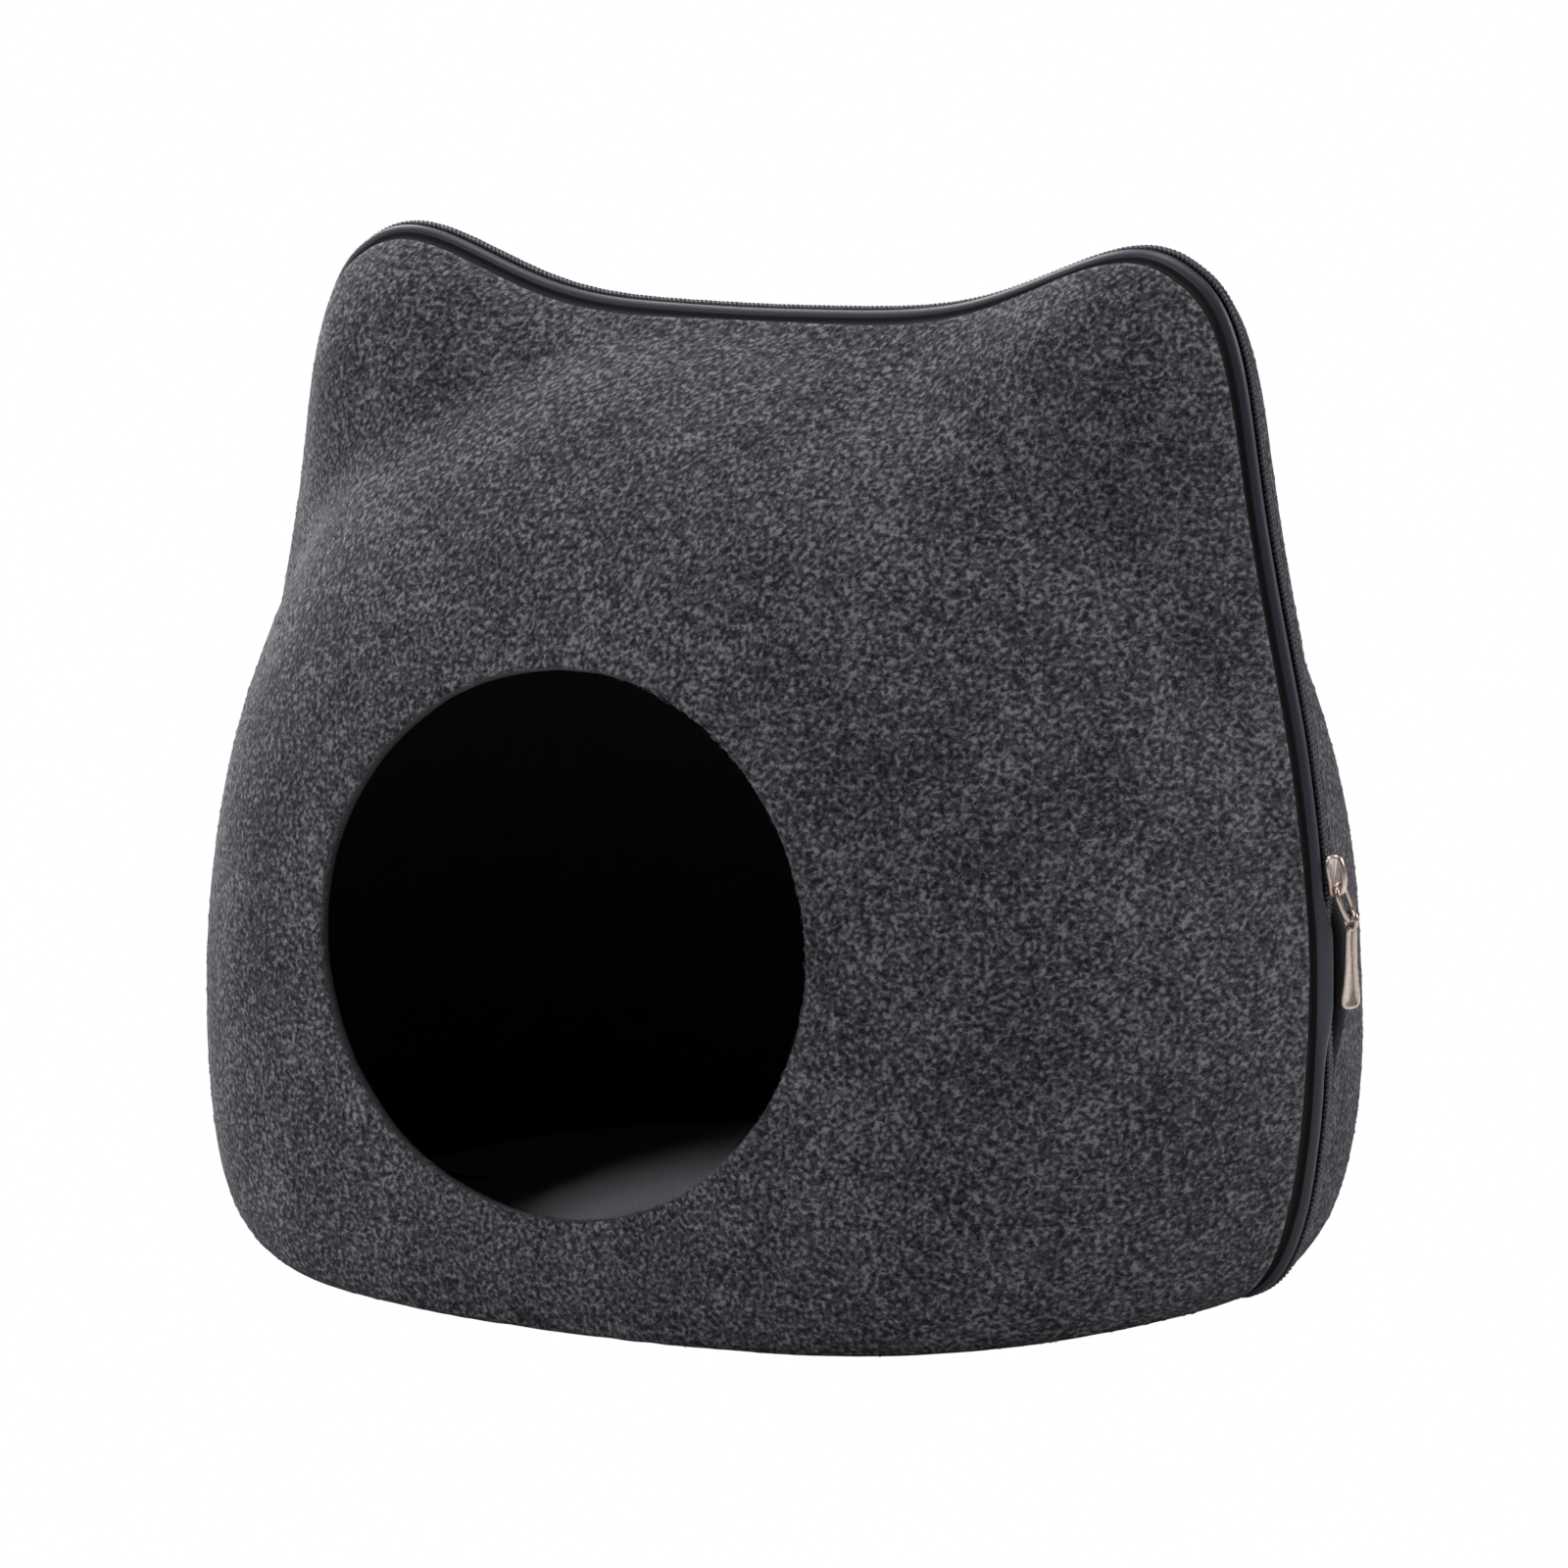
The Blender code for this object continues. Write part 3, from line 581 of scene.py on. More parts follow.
def felt_finish():
    """Needle-punched polyester felt in charcoal heather.

    Light and dark fibres curl through each other in short bundles, matt, with a faint haze of
    loose ends at grazing angles. The pits between the bundles hold painted shade.
    """
    felt, _ = settings()
    material, tree, shader = new_material("needle_felt_heather")
    place, height = felt_strands(tree, felt.strand_pitch)
    blotch = add_node(tree, "ShaderNodeTexNoise", {"Scale": per_metre(38.0), "Detail": 2.0},
                      {"Vector": place})
    shifted = add_node(tree, "ShaderNodeMath", {1: 0.20},
                       {0: blotch.outputs["Fac"], 2: height}, operation="MULTIPLY_ADD")
    # Colour follows the fibres' height: strand and ground are the heather's own tones, and pit at
    # the low points is painted shade in the hollows.
    colour = add_ramp(tree, shifted.outputs[0],
                      ((0.45, felt.pit), (0.64, felt.ground), (0.84, felt.strand)))
    tree.links.new(colour, shader.inputs["Base Color"])
    bump = add_node(tree, "ShaderNodeBump", {"Strength": 0.8, "Distance": 0.7 * MM},
                    {"Height": height})
    tree.links.new(bump.outputs["Normal"], shader.inputs["Normal"])
    shader.inputs["Roughness"].default_value = 0.95
    shader.inputs["Specular IOR Level"].default_value = 0.15
    shader.inputs["Sheen Weight"].default_value = 0.25
    shader.inputs["Sheen Roughness"].default_value = 0.45
    shader.inputs["Sheen Tint"].default_value = (*felt.strand, 1.0)
    return material


def fibre_finish():
    """Single polyester fibres, lighter than the felt below them."""
    felt, _ = settings()
    material, tree, shader = new_material("loose_polyester_fibre")
    place = add_node(tree, "ShaderNodeTexCoord").outputs["Object"]
    kinds = add_node(tree, "ShaderNodeTexNoise", {"Scale": per_metre(4.0), "Detail": 0.0},
                     {"Vector": place})
    colour = add_ramp(tree, kinds.outputs["Fac"], ((0.35, felt.ground), (0.7, felt.loose)))
    tree.links.new(colour, shader.inputs["Base Color"])
    shader.inputs["Roughness"].default_value = 0.8
    shader.inputs["Specular IOR Level"].default_value = 0.3
    return material


def cloth_finish(name, colour, thread, roughness=0.85, depth=0.12):
    """Plain tightly woven polyester: even, matt, with a fine grain."""
    material, tree, shader = new_material(name)
    place = add_node(tree, "ShaderNodeTexCoord").outputs["Object"]
    grain = add_node(tree, "ShaderNodeTexNoise", {"Scale": per_metre(thread), "Detail": 2.0},
                     {"Vector": place})
    mottled = add_ramp(tree, grain.outputs["Fac"],
                       ((0.35, shade(colour, 0.8)), (0.65, shade(colour, 1.25))))
    tree.links.new(mottled, shader.inputs["Base Color"])
    bump = add_node(tree, "ShaderNodeBump", {"Strength": 0.5, "Distance": depth * MM},
                    {"Height": grain.outputs["Fac"]})
    tree.links.new(bump.outputs["Normal"], shader.inputs["Normal"])
    shader.inputs["Roughness"].default_value = roughness
    return material


def satin_finish():
    """Satin weave folded over a cord: long floats give a soft streak of light."""
    _, band = settings()
    material, tree, shader = new_material("satin_weave_band")
    uv = add_node(tree, "ShaderNodeUVMap", uv_map="UVMap").outputs["UV"]
    threads = add_node(tree, "ShaderNodeMapping", {"Scale": (1300.0, 46.0, 1.0)}, {"Vector": uv})
    float_noise = add_node(tree, "ShaderNodeTexNoise",
                           {"Scale": 1.0, "Detail": 2.0}, {"Vector": threads.outputs["Vector"]})
    mottled = add_ramp(tree, float_noise.outputs["Fac"],
                       ((0.35, shade(band.satin, 0.86)), (0.65, shade(band.satin, 1.16))))
    tree.links.new(mottled, shader.inputs["Base Color"])
    bump = add_node(tree, "ShaderNodeBump", {"Strength": 0.25, "Distance": 0.1 * MM},
                    {"Height": float_noise.outputs["Fac"]})
    tree.links.new(bump.outputs["Normal"], shader.inputs["Normal"])
    shader.inputs["Roughness"].default_value = 0.42
    shader.inputs["Specular IOR Level"].default_value = 0.5
    shader.inputs["Sheen Weight"].default_value = 0.2
    return material


def nylon_finish():
    """Drawn nylon wire: dark, smooth, with a dull gloss, slightly dusty."""
    _, band = settings()
    material, tree, shader = new_material("drawn_nylon_coil")
    place = add_node(tree, "ShaderNodeTexCoord").outputs["Object"]
    dust = add_node(tree, "ShaderNodeTexNoise", {"Scale": per_metre(2.0), "Detail": 2.0},
                    {"Vector": place})
    mottled = add_ramp(tree, dust.outputs["Fac"],
                       ((0.4, shade(band.nylon, 0.8)), (0.7, shade(band.nylon, 1.5))))
    tree.links.new(mottled, shader.inputs["Base Color"])
    shader.inputs["Roughness"].default_value = 0.42
    shader.inputs["IOR"].default_value = 1.53
    return material


def nickel_finish():
    """Die-cast zinc in polished warm nickel plating, with fine handling wear."""
    _, band = settings()
    material, tree, shader = new_material("warm_nickel_plating")
    place = add_node(tree, "ShaderNodeTexCoord").outputs["Object"]
    wear = add_node(tree, "ShaderNodeTexNoise", {"Scale": per_metre(1.6), "Detail": 3.0},
                    {"Vector": place})
    mottled = add_ramp(tree, wear.outputs["Fac"],
                       ((0.35, shade(band.metal, 0.82)), (0.6, shade(band.metal, 1.0))))
    tree.links.new(mottled, shader.inputs["Base Color"])
    rough = add_node(tree, "ShaderNodeMapRange", {"To Min": 0.24, "To Max": 0.38},
                     {"Value": wear.outputs["Fac"]})
    tree.links.new(rough.outputs["Result"], shader.inputs["Roughness"])
    shader.inputs["Metallic"].default_value = 1.0
    return material


# ---- Felt shells ----

def plan_lines(side, angles, samples=81, fine=241):
    """Places in plan along lines from the felt edge to the doorway or hub, even on the face."""
    depth = FRONT_DEPTH if side < 0 else BACK_DEPTH
    edge = front_edge(angles) if side < 0 else BACK_EDGE_Y
    radius = radius_at(angles, edge, depth)
    start = np.stack([radius * np.cos(angles), HUB_HEIGHT + radius * np.sin(angles)], axis=-1)
    if side < 0:
        heading = np.arctan2(start[:, 1] - DOORWAY_HEIGHT, start[:, 0])
        wobble = [noise.noise(Vector((3.0 * math.cos(h), 3.0 * math.sin(h), 0.4)))
                  + 0.5 * noise.noise(Vector((9.0 * math.cos(h), 9.0 * math.sin(h), 2.4)))
                  for h in heading]
        ragged = DOORWAY_WOBBLE * np.array(wobble)
        rise = DOORWAY_HEIGHT + (DOORWAY_HALF_HEIGHT + ragged) * np.sin(heading)
        end = np.stack([(DOORWAY_HALF_WIDTH + ragged) * np.cos(heading), unpress(rise)], axis=-1)
    else:
        end = np.zeros_like(start) + (0.0, HUB_HEIGHT)
    share = np.linspace(0.0, 1.0, fine) ** 2
    places = start[:, None, :] + (end - start)[:, None, :] * share[None, :, None]
    points = face_points(places[..., 0], places[..., 1], side, depth)
    lines = np.empty((len(angles), samples, 2))
    for row in range(len(angles)):
        travelled = travel(points[row])
        wanted = np.linspace(0.0, travelled[-1], samples)
        for axis in range(2):
            lines[row, :, axis] = np.interp(wanted, travelled, places[row, :, axis])
    return lines


def blend_lines(lines, along, inward):
    """Read a table of lines between its rows and columns; both positions run from 0 to 1."""
    rows, columns = lines.shape[0] - 1, lines.shape[1] - 1
    row = np.clip(along * rows, 0.0, rows - 1e-9)
    column = np.clip(inward * columns, 0.0, columns - 1e-9)
    r, c = row.astype(int), column.astype(int)
    fr, fc = (row - r)[:, None], (column - c)[:, None]
    near = lines[r, c] * (1.0 - fc) + lines[r, c + 1] * fc
    far = lines[r + 1, c] * (1.0 - fc) + lines[r + 1, c + 1] * fc
    return near * (1.0 - fr) + far * fr


def disc_from_square(u, v):
    """Turn a square's points into a position round the disc and a share of its radius."""
    x, y = 2.0 * u - 1.0, 2.0 * v - 1.0
    radius = np.maximum(np.abs(x), np.abs(y))
    safe = np.maximum(radius, 1e-9)
    quarter = np.where(np.abs(x) >= np.abs(y), y / safe, x / safe)
    round_disc = np.select(
        [(np.abs(x) >= np.abs(y)) & (x > 0.0), (np.abs(y) > np.abs(x)) & (y > 0.0),
         (np.abs(x) >= np.abs(y)) & (x <= 0.0)],
        [quarter, 2.0 - quarter, 4.0 - quarter], 6.0 + quarter)
    return ((round_disc + 2.0) / 8.0) % 1.0, radius


def dent_shell(mesh, depth):
    """Push the moulded face in and out a little, more over long distances than over short ones."""
    points = [vertex.co.copy() for vertex in mesh.vertices]
    normals = [vertex.normal.copy() for vertex in mesh.vertices]
    for vertex, point, normal in zip(mesh.vertices, points, normals):
        slow = noise.noise(point / DENT_SPAN)
        quick = noise.noise(point / RIPPLE_SPAN + Vector((3.0, 1.0, 2.0)))
        moved = point + normal * depth * (slow + 0.25 * quick)
        vertex.co = (moved.x, moved.y, max(moved.z, 0.0))


def open_gape(points):
    """Move the back felt near its edge to where it stands beside the gape."""
    angle = np.arctan2(points[:, 2] - HUB_HEIGHT, points[:, 0])
    near = np.exp(-((points[:, 1] - BACK_EDGE_Y) / GAPE_REACH) ** 2)
    share = gape_share(angle) * near
    outward = rim_normals(angle)
    moved = points + outward * (GAPE_BULGE * share)[:, None]
    moved[:, 1] += GAPE_BACK * share
    return moved


def make_shell(name, side, materials):
    felt, _ = settings()
    depth = FRONT_DEPTH if side < 0 else BACK_DEPTH
    angles, _ = even_angles(-math.pi / 2.0, 1.5 * math.pi, 361)
    lines = plan_lines(side, angles)

    def place(u, v):
        if side < 0:
            plan = blend_lines(lines, u, v)
            return face_points(plan[:, 0], plan[:, 1], side, depth)
        along, share = disc_from_square(u, v)
        plan = blend_lines(lines, along, 1.0 - share)
        return open_gape(face_points(plan[:, 0], plan[:, 1], side, depth))

    columns, rows = FRONT_GRID if side < 0 else BACK_GRID
    mesh = grid_mesh(name, columns, rows, place, merge=side < 0)
    turn_outwards(mesh)
    dent_shell(mesh, felt.dent)
    mesh.update()
    shell = new_piece(name, mesh, materials)
    add_modifier(shell, "SOLIDIFY", thickness=FELT, offset=-1.0, use_even_offset=True,
                 material_offset=1, material_offset_rim=2)
    return shell


def fibre_mesh(name, roots, normals, lengths, widths, lifts, seed):
    """Curled fibres as closed slivers: three rings of three points between two tips."""
    rng = np.random.default_rng(seed)
    count = len(roots)
    spin = rng.normal(size=(count, 3))
    run = spin - normals * np.sum(spin * normals, axis=1, keepdims=True)
    run /= np.linalg.norm(run, axis=1, keepdims=True)
    beside = np.cross(normals, run)
    bend = rng.normal(0.0, 0.22, count)
    stations = np.array([0.0, 0.22, 0.5, 0.78, 1.0])
    tips = rng.uniform(0.0, 1.0, count)
    middle = []
    for share in stations:
        rise = lifts * (np.sin(math.pi * share) * (1.0 - tips) + share ** 2 * tips) - 0.15 * widths
        middle.append(roots + run * (lengths * (share - 0.5))[:, None]
                      + beside * (lengths * bend * (share - 0.5) ** 2 * 4.0)[:, None]
                      + normals * rise[:, None])
    points = [middle[0]]
    for ring, share in zip(middle[1:4], (0.85, 1.0, 0.8)):
        for turn in (0.0, 2.0 * math.pi / 3.0, 4.0 * math.pi / 3.0):
            around = beside * math.cos(turn) + normals * math.sin(turn)
            points.append(ring + around * (0.5 * widths * share)[:, None])
    points.append(middle[4])
    table = np.stack(points, axis=1)
    table[..., 2] = np.maximum(table[..., 2], 0.02 * MM)
    faces = [(0, 2, 1), (0, 3, 2), (0, 1, 3)]
    for first in (1, 4):
        for k in range(3):
            a, b = first + k, first + (k + 1) % 3
            faces += [(a, b, b + 3), (a, b + 3, a + 3)]
    faces += [(10, 7, 8), (10, 8, 9), (10, 9, 7)]
    index = np.array(faces)[None] + 11 * np.arange(count)[:, None, None]
    mesh = bpy.data.meshes.new(name)
    mesh.from_pydata(table.reshape(-1, 3), [], index.reshape(-1, 3))
    mesh.shade_smooth()
    return mesh


def scatter_fibres(name, shell, count, material, seed):
    """Loose fibres all over the shell's outer face."""
    rng = np.random.default_rng(seed)
    mesh = shell.data
    areas = np.array([face.area for face in mesh.polygons])
    chosen = rng.choice(len(areas), size=count, p=areas / areas.sum())
    centres = np.array([tuple(mesh.polygons[int(k)].center) for k in chosen])
    normals = np.array([tuple(mesh.polygons[int(k)].normal) for k in chosen])
    jitter = rng.normal(0.0, 1.0, (count, 3)) * np.sqrt(areas[chosen])[:, None] * 0.35
    jitter -= normals * np.sum(jitter * normals, axis=1, keepdims=True)
    lengths = rng.uniform(*FIBRE_LENGTHS, count) * MM
    widths = rng.uniform(*FIBRE_WIDTHS, count) * MM
    lifts = rng.uniform(*FIBRE_LIFTS, count) * MM
    centres = centres + jitter
    centres[:, 2] = np.maximum(centres[:, 2], FIBRE_LOWEST)
    return new_piece(name, fibre_mesh(name, centres, normals, lengths, widths, lifts, seed + 1),
                     [material])


def rim_fibres(name, material, count, seed):
    """Short fibres that stand out of the doorway's cut rim, thicker at a few tufts."""
    rng = np.random.default_rng(seed)
    spots = rng.uniform(0.0, 2.0 * math.pi, 9)
    heading = np.where(rng.uniform(size=count) < 0.8, rng.uniform(0.0, 2.0 * math.pi, count),
                       rng.choice(spots, count) + rng.normal(0.0, 0.02, count))
    outside = rng.uniform(-0.3, 0.8, count) * MM
    rise = DOORWAY_HEIGHT + (DOORWAY_HALF_HEIGHT + outside) * np.sin(heading)
    places = face_points((DOORWAY_HALF_WIDTH + outside) * np.cos(heading), unpress(rise), -1,
                         FRONT_DEPTH)
    places[:, 1] += np.abs(rng.normal(0.0, 1.0, count)) * MM
    inward = np.stack([-np.cos(heading), np.full(count, -0.5), -np.sin(heading)], axis=1)
    inward /= np.linalg.norm(inward, axis=1, keepdims=True)
    lengths = rng.uniform(*RIM_FIBRE_LENGTHS, count) * MM
    widths = rng.uniform(*RIM_FIBRE_WIDTHS, count) * MM
    lifts = rng.uniform(*RIM_FIBRE_LIFTS, count) * MM
    return new_piece(name, fibre_mesh(name, places, inward, lengths, widths, lifts, seed + 1),
                     [material])


class CAVE_OT_shells(bpy.types.Operator):
    """Build the moulded felt halves"""
    bl_idname = "cave.shells"
    bl_label = "Felt shells"

    def execute(self, context):
        felt, _ = settings()
        outer = felt_finish()
        inside = cloth_finish("smooth_lining_face", felt.inside, 0.8)
        cut = cloth_finish("die_cut_felt_edge", felt.cut, 0.7, 0.95, 0.25)
        for name, side in (("front_felt", -1), ("back_felt", 1)):
            shell = make_shell(name, side, [outer, inside, cut])
            hand_over(shell, "felt", "front_shell" if side < 0 else "back_shell")
        return {"FINISHED"}


class CAVE_OT_fibres(bpy.types.Operator):
    """Scatter loose fibres over the felt and along the doorway"""
    bl_idname = "cave.fibres"
    bl_label = "Loose fibres"

    def execute(self, context):
        finish = fibre_finish()
        felt, _ = settings()
        for number, name in enumerate(("front_felt", "back_felt")):
            fibres = scatter_fibres(name + "_fibres", bpy.data.objects[name], felt.fibres, finish,
                                    11 + 10 * number)
            hand_over(fibres, "felt")
        hand_over(rim_fibres("doorway_fibres", finish, RIM_FIBRES, 5), "felt")
        return {"FINISHED"}


# ---- Zip ----

def smooth_line(points, count):
    """Read a rounded line through the points, as many as asked, at even lengths."""
    table = np.array(points)
    padded = np.vstack([2.0 * table[0] - table[1], table, 2.0 * table[-1] - table[-2]])
    steps = np.linspace(0.0, 1.0, 12, endpoint=False)[:, None]
    pieces = []
    for p0, p1, p2, p3 in zip(padded, padded[1:], padded[2:], padded[3:]):
        pieces.append(0.5 * (2.0 * p1 + (p2 - p0) * steps
                             + (2.0 * p0 - 5.0 * p1 + 4.0 * p2 - p3) * steps ** 2
                             + (3.0 * p1 - p0 - 3.0 * p2 + p3) * steps ** 3))
    fine = np.vstack(pieces + [table[-1:]])
    travelled = travel(fine[:, :2])
    wanted = np.linspace(0.0, travelled[-1], count)
    return np.stack([np.interp(wanted, travelled, fine[:, axis]) for axis in range(3)], axis=1)


def make_tape(name, line, rows, materials, wobble, ground=()):
    """A tape along the whole zip; rows whose share across lies in ground get the second finish, a
    near-black painted shade.
    """
    first, last = chain_span()
    angles, length = even_angles(first, last, TAPE_COLUMNS + 1)
    closed, open_ = (smooth_line([(p[2 * k], p[2 * k + 1], 0.0) for p in line], rows + 1) * MM
                     for k in (0, 1))

    def place(u, v):
        angle = np.interp(u * TAPE_COLUMNS, np.arange(TAPE_COLUMNS + 1), angles)
        gape = gape_share(angle)
        across, lift = ((1.0 - gape) * np.interp(v * rows, np.arange(rows + 1), closed[:, axis])
                        + gape * np.interp(v * rows, np.arange(rows + 1), open_[:, axis])
                        for axis in (0, 1))
        waves = np.array([noise.noise(Vector((a * 9.0, 5.0, 0.7))) for a in angle])
        return zip_points(angle, across, lift + wobble * waves * np.sin(math.pi * v))

    mesh = grid_mesh(name, TAPE_COLUMNS, rows, place)
    turn_outwards(mesh)
    tape = new_piece(name, mesh, materials)
    if ground:
        layer = mesh.uv_layers["UVMap"].data
        for face in mesh.polygons:
            share = sum(layer[loop].uv.y for loop in face.loop_indices) / face.loop_total
            face.material_index = int(any(low <= share < high for low, high in ground))
    add_modifier(tape, "SOLIDIFY", thickness=TAPE_THICKNESS, offset=-1.0)
    return tape


class CAVE_OT_tapes(bpy.types.Operator):
    """Build the satin band and the plain tape of the zip"""
    bl_idname = "cave.tapes"
    bl_label = "Zip tapes"

    def execute(self, context):
        _, band = settings()
        # The near-black finish on the band's edge strips is painted shade of the grooves beside the
        # roll.
        ground = cloth_finish("band_groove_painted_shade", band.ground, 0.5)
        satin = make_tape("satin_band", BAND_LINE, BAND_ROWS, [satin_finish(), ground], 0.15 * MM,
                          ground=BAND_PAINTED_SHADE)
        hand_over(satin, "satin_tape", "front_tape")
        plain = cloth_finish("woven_zip_tape", band.tape, 0.5)
        tape = make_tape("plain_tape", BACK_TAPE_LINE, BACK_TAPE_ROWS, [plain], 0.1 * MM)
        hand_over(tape, "plain_tape", "back_tape")
        return {"FINISHED"}


def make_coil(name, side, pitch, wire, material):
    """One row: a flattened helix of nylon wire whose heads mesh with the other row.

    The wire is drawn thick, so that the turns run together at a distance as the real ones do.
    """
    first, last = chain_span()
    fine, length = even_angles(first, last, 4001)
    turns = int(length / pitch)
    step = np.arange(turns * COIL_TURN_POINTS)
    turn = 2.0 * math.pi * step / COIL_TURN_POINTS
    share = (step / COIL_TURN_POINTS + (0.5 if side > 0 else 0.0)) / (turns + 1)
    angle = np.interp(share, np.linspace(0.0, 1.0, 4001), fine)
    half_width = 0.5 * (COIL_HEEL - COIL_HEAD - wire)
    half_height = 0.5 * (COIL_CREST - COIL_FOOT - wire)
    gape = gape_share(angle)
    spread = GAPE_BACK if side > 0 else -GAPE_FRONT
    sink = GAPE_SINK if side > 0 else GAPE_SAG
    across = side * (0.5 * (COIL_HEEL + COIL_HEAD) + half_width * np.cos(turn)) + spread * gape
    lift = 0.5 * (COIL_CREST + COIL_FOOT) + half_height * np.sin(turn) - sink * gape
    points = zip_points(angle, across, lift)
    points[:, 2] = np.maximum(points[:, 2], 0.5 * wire + 0.1 * MM)
    mesh = swept_wire(name, points, wire, sides=6)
    return new_piece(name, mesh, [material])


def slider_axes():
    """The slider's own axes: X down the zip, Y back, Z outwards."""
    angle = np.array([math.radians(SLIDER_ANGLE)])
    down, outward = Vector(-rim_tangents(angle)[0]), Vector(rim_normals(angle)[0])
    axes = Matrix((down, Vector((0.0, 1.0, 0.0)), outward)).transposed().to_4x4()
    axes.translation = Vector(rim_places(angle)[0])
    return axes


def link_axes():
    """The link's axes: X runs along it, from the bar inside the bridge's arch."""
    start = Matrix.Translation((LINK_START_X, 0.0, LINK_LEVEL))
    swing = Matrix.Rotation(math.radians(LINK_SWING), 4, "Z")
    tilt = Matrix.Rotation(math.radians(-LINK_TILT), 4, "Y")
    return slider_axes() @ start @ swing @ tilt


def tab_axes():
    """The tab's axes: X hangs straight down from the link's far bar, Z is the tab's face."""
    face = Matrix.Rotation(math.radians(-TAB_TWIST), 4, "Z") @ Vector((1.0, 0.0, 0.0))
    down = Vector((0.0, 0.0, -1.0))
    axes = Matrix((down, face.cross(down), face)).transposed().to_4x4()
    axes.translation = link_axes() @ Vector((LINK_LENGTH, 0.0, 0.0))
    return axes


def oval_points(length, width, centre_x, count, squareness=2.0, upright=False):
    turn = np.linspace(0.0, 2.0 * math.pi, count, endpoint=False)
    along, across = (np.sign(share) * np.abs(share) ** (2.0 / squareness)
                     for share in (np.cos(turn), np.sin(turn)))
    flat = np.zeros(count)
    along, across = centre_x + 0.5 * length * along, 0.5 * width * across
    return np.stack([along, flat, across] if upright else [along, across, flat], axis=1)


def cast_plate(half_outline, low, high, rounding, rim, dish):
    """A cast plate with rounded edges and a dished face, from one side of its outline in mm."""
    side = smooth_line([(along, across, 0.0) for along, across in half_outline], 40)[:, :2] * MM
    ring = [(x, y) for x, y in side] + [(x, -y) for x, y in side[::-1] if y > 0.01 * MM]
    shape = bmesh.new()
    verts = [shape.verts.new((x, y, low)) for x, y in ring]
    shape.faces.new(verts)
    bmesh.ops.recalc_face_normals(shape, faces=shape.faces)
    top = bmesh.ops.extrude_face_region(shape, geom=shape.faces[:])
    raised = [item for item in top["geom"] if isinstance(item, bmesh.types.BMVert)]
    bmesh.ops.translate(shape, vec=(0.0, 0.0, high - low), verts=raised)
    bmesh.ops.recalc_face_normals(shape, faces=shape.faces)
    flat = [edge for edge in shape.edges
            if abs(edge.verts[0].co.z - edge.verts[1].co.z) < 0.5 * (high - low)]
    bmesh.ops.bevel(shape, geom=flat, offset=rounding, segments=4, profile=0.5,
                    affect="EDGES", material=-1)
    shape.normal_update()
    face = max((f for f in shape.faces if f.normal.z > 0.99), key=lambda f: f.calc_area())
    bmesh.ops.inset_region(shape, faces=[face], thickness=rim, depth=0.0, use_even_offset=True)
    bmesh.ops.inset_region(shape, faces=[face], thickness=0.5 * rim, depth=-dish,
                           use_even_offset=True)
    bmesh.ops.recalc_face_normals(shape, faces=shape.faces)
    return shape


def place_casting(name, shape, axes, nickel, node):
    """Put a casting into place in the frame's own axes."""
    mesh = bpy.data.meshes.new(name)
    shape.to_mesh(mesh)
    shape.free()
    mesh.transform(axes)
    mesh.shade_smooth()
    piece = new_piece(name, mesh, [nickel])
    hand_over(piece, "metal", node)
    return piece


def make_slider(nickel):
    """A shield-shaped plate over the coils, with the strap of its bridge."""
    shape = cast_plate(PLATE_OUTLINE, PLATE_UNDERSIDE, PLATE_TOP, PLATE_ROUNDING, PLATE_RIM,
                       PLATE_DISH)
    turn = np.linspace(0.0, math.pi, 33)
    foot = PLATE_TOP - 0.25 * BRIDGE_STRAP
    height = foot + (BRIDGE_CREST - foot) * np.sqrt(np.sin(turn))
    arch = np.stack([-BRIDGE_HALF_SPAN * np.cos(turn), 0.0 * turn, height], axis=1)
    strap = swept_wire("slider_strap", arch, BRIDGE_STRAP, sides=12)
    strap.transform(Matrix.Diagonal((1.0, BRIDGE_WIDTH / BRIDGE_STRAP, 1.0, 1.0)))
    shape.from_mesh(strap)
    bpy.data.meshes.remove(strap)
    return place_casting("slider_casting", shape, slider_axes(), nickel, "zip_slider")


def make_link(nickel):
    points = oval_points(LINK_LENGTH, LINK_WIDTH, 0.5 * LINK_LENGTH, 56, LINK_SQUARENESS)
    ring = swept_wire("link_ring", points, LINK_WIRE, closed=True, sides=12)
    shape = bmesh.new()
    shape.from_mesh(ring)
    bpy.data.meshes.remove(ring)
    return place_casting("link_casting", shape, link_axes(), nickel, "pull_link")


def make_tab(nickel):
    """The flat tab, its eye standing on edge round the link's far bar."""
    eye_x = 0.5 * (EYE_DIAMETER - EYE_WIRE - LINK_WIRE) - 0.3 * MM
    shape = cast_plate(TAB_OUTLINE, -0.5 * TAB_THICKNESS, 0.5 * TAB_THICKNESS, TAB_ROUNDING,
                       TAB_RIM, TAB_DISH)
    start = eye_x + 0.5 * EYE_DIAMETER - 0.25 * EYE_WIRE
    bmesh.ops.translate(shape, vec=(start, 0.0, 0.0), verts=shape.verts)
    points = oval_points(EYE_DIAMETER, EYE_DIAMETER, eye_x, 40, upright=True)
    eye = swept_wire("tab_eye_ring", points, EYE_WIRE, closed=True, sides=12)
    shape.from_mesh(eye)
    bpy.data.meshes.remove(eye)
    return place_casting("tab_casting", shape, tab_axes(), nickel, "pull_tab")


class CAVE_OT_coils(bpy.types.Operator):
    """Wind the two nylon rows of the zip"""
    bl_idname = "cave.coils"
    bl_label = "Zip coils"

    def execute(self, context):
        _, band = settings()
        nylon = nylon_finish()
        for name, side in (("coil_front", -1), ("coil_back", 1)):
            row = make_coil("wound_" + name, side, band.coil_pitch, band.coil_wire, nylon)
            hand_over(row, "coil", name)
        return {"FINISHED"}


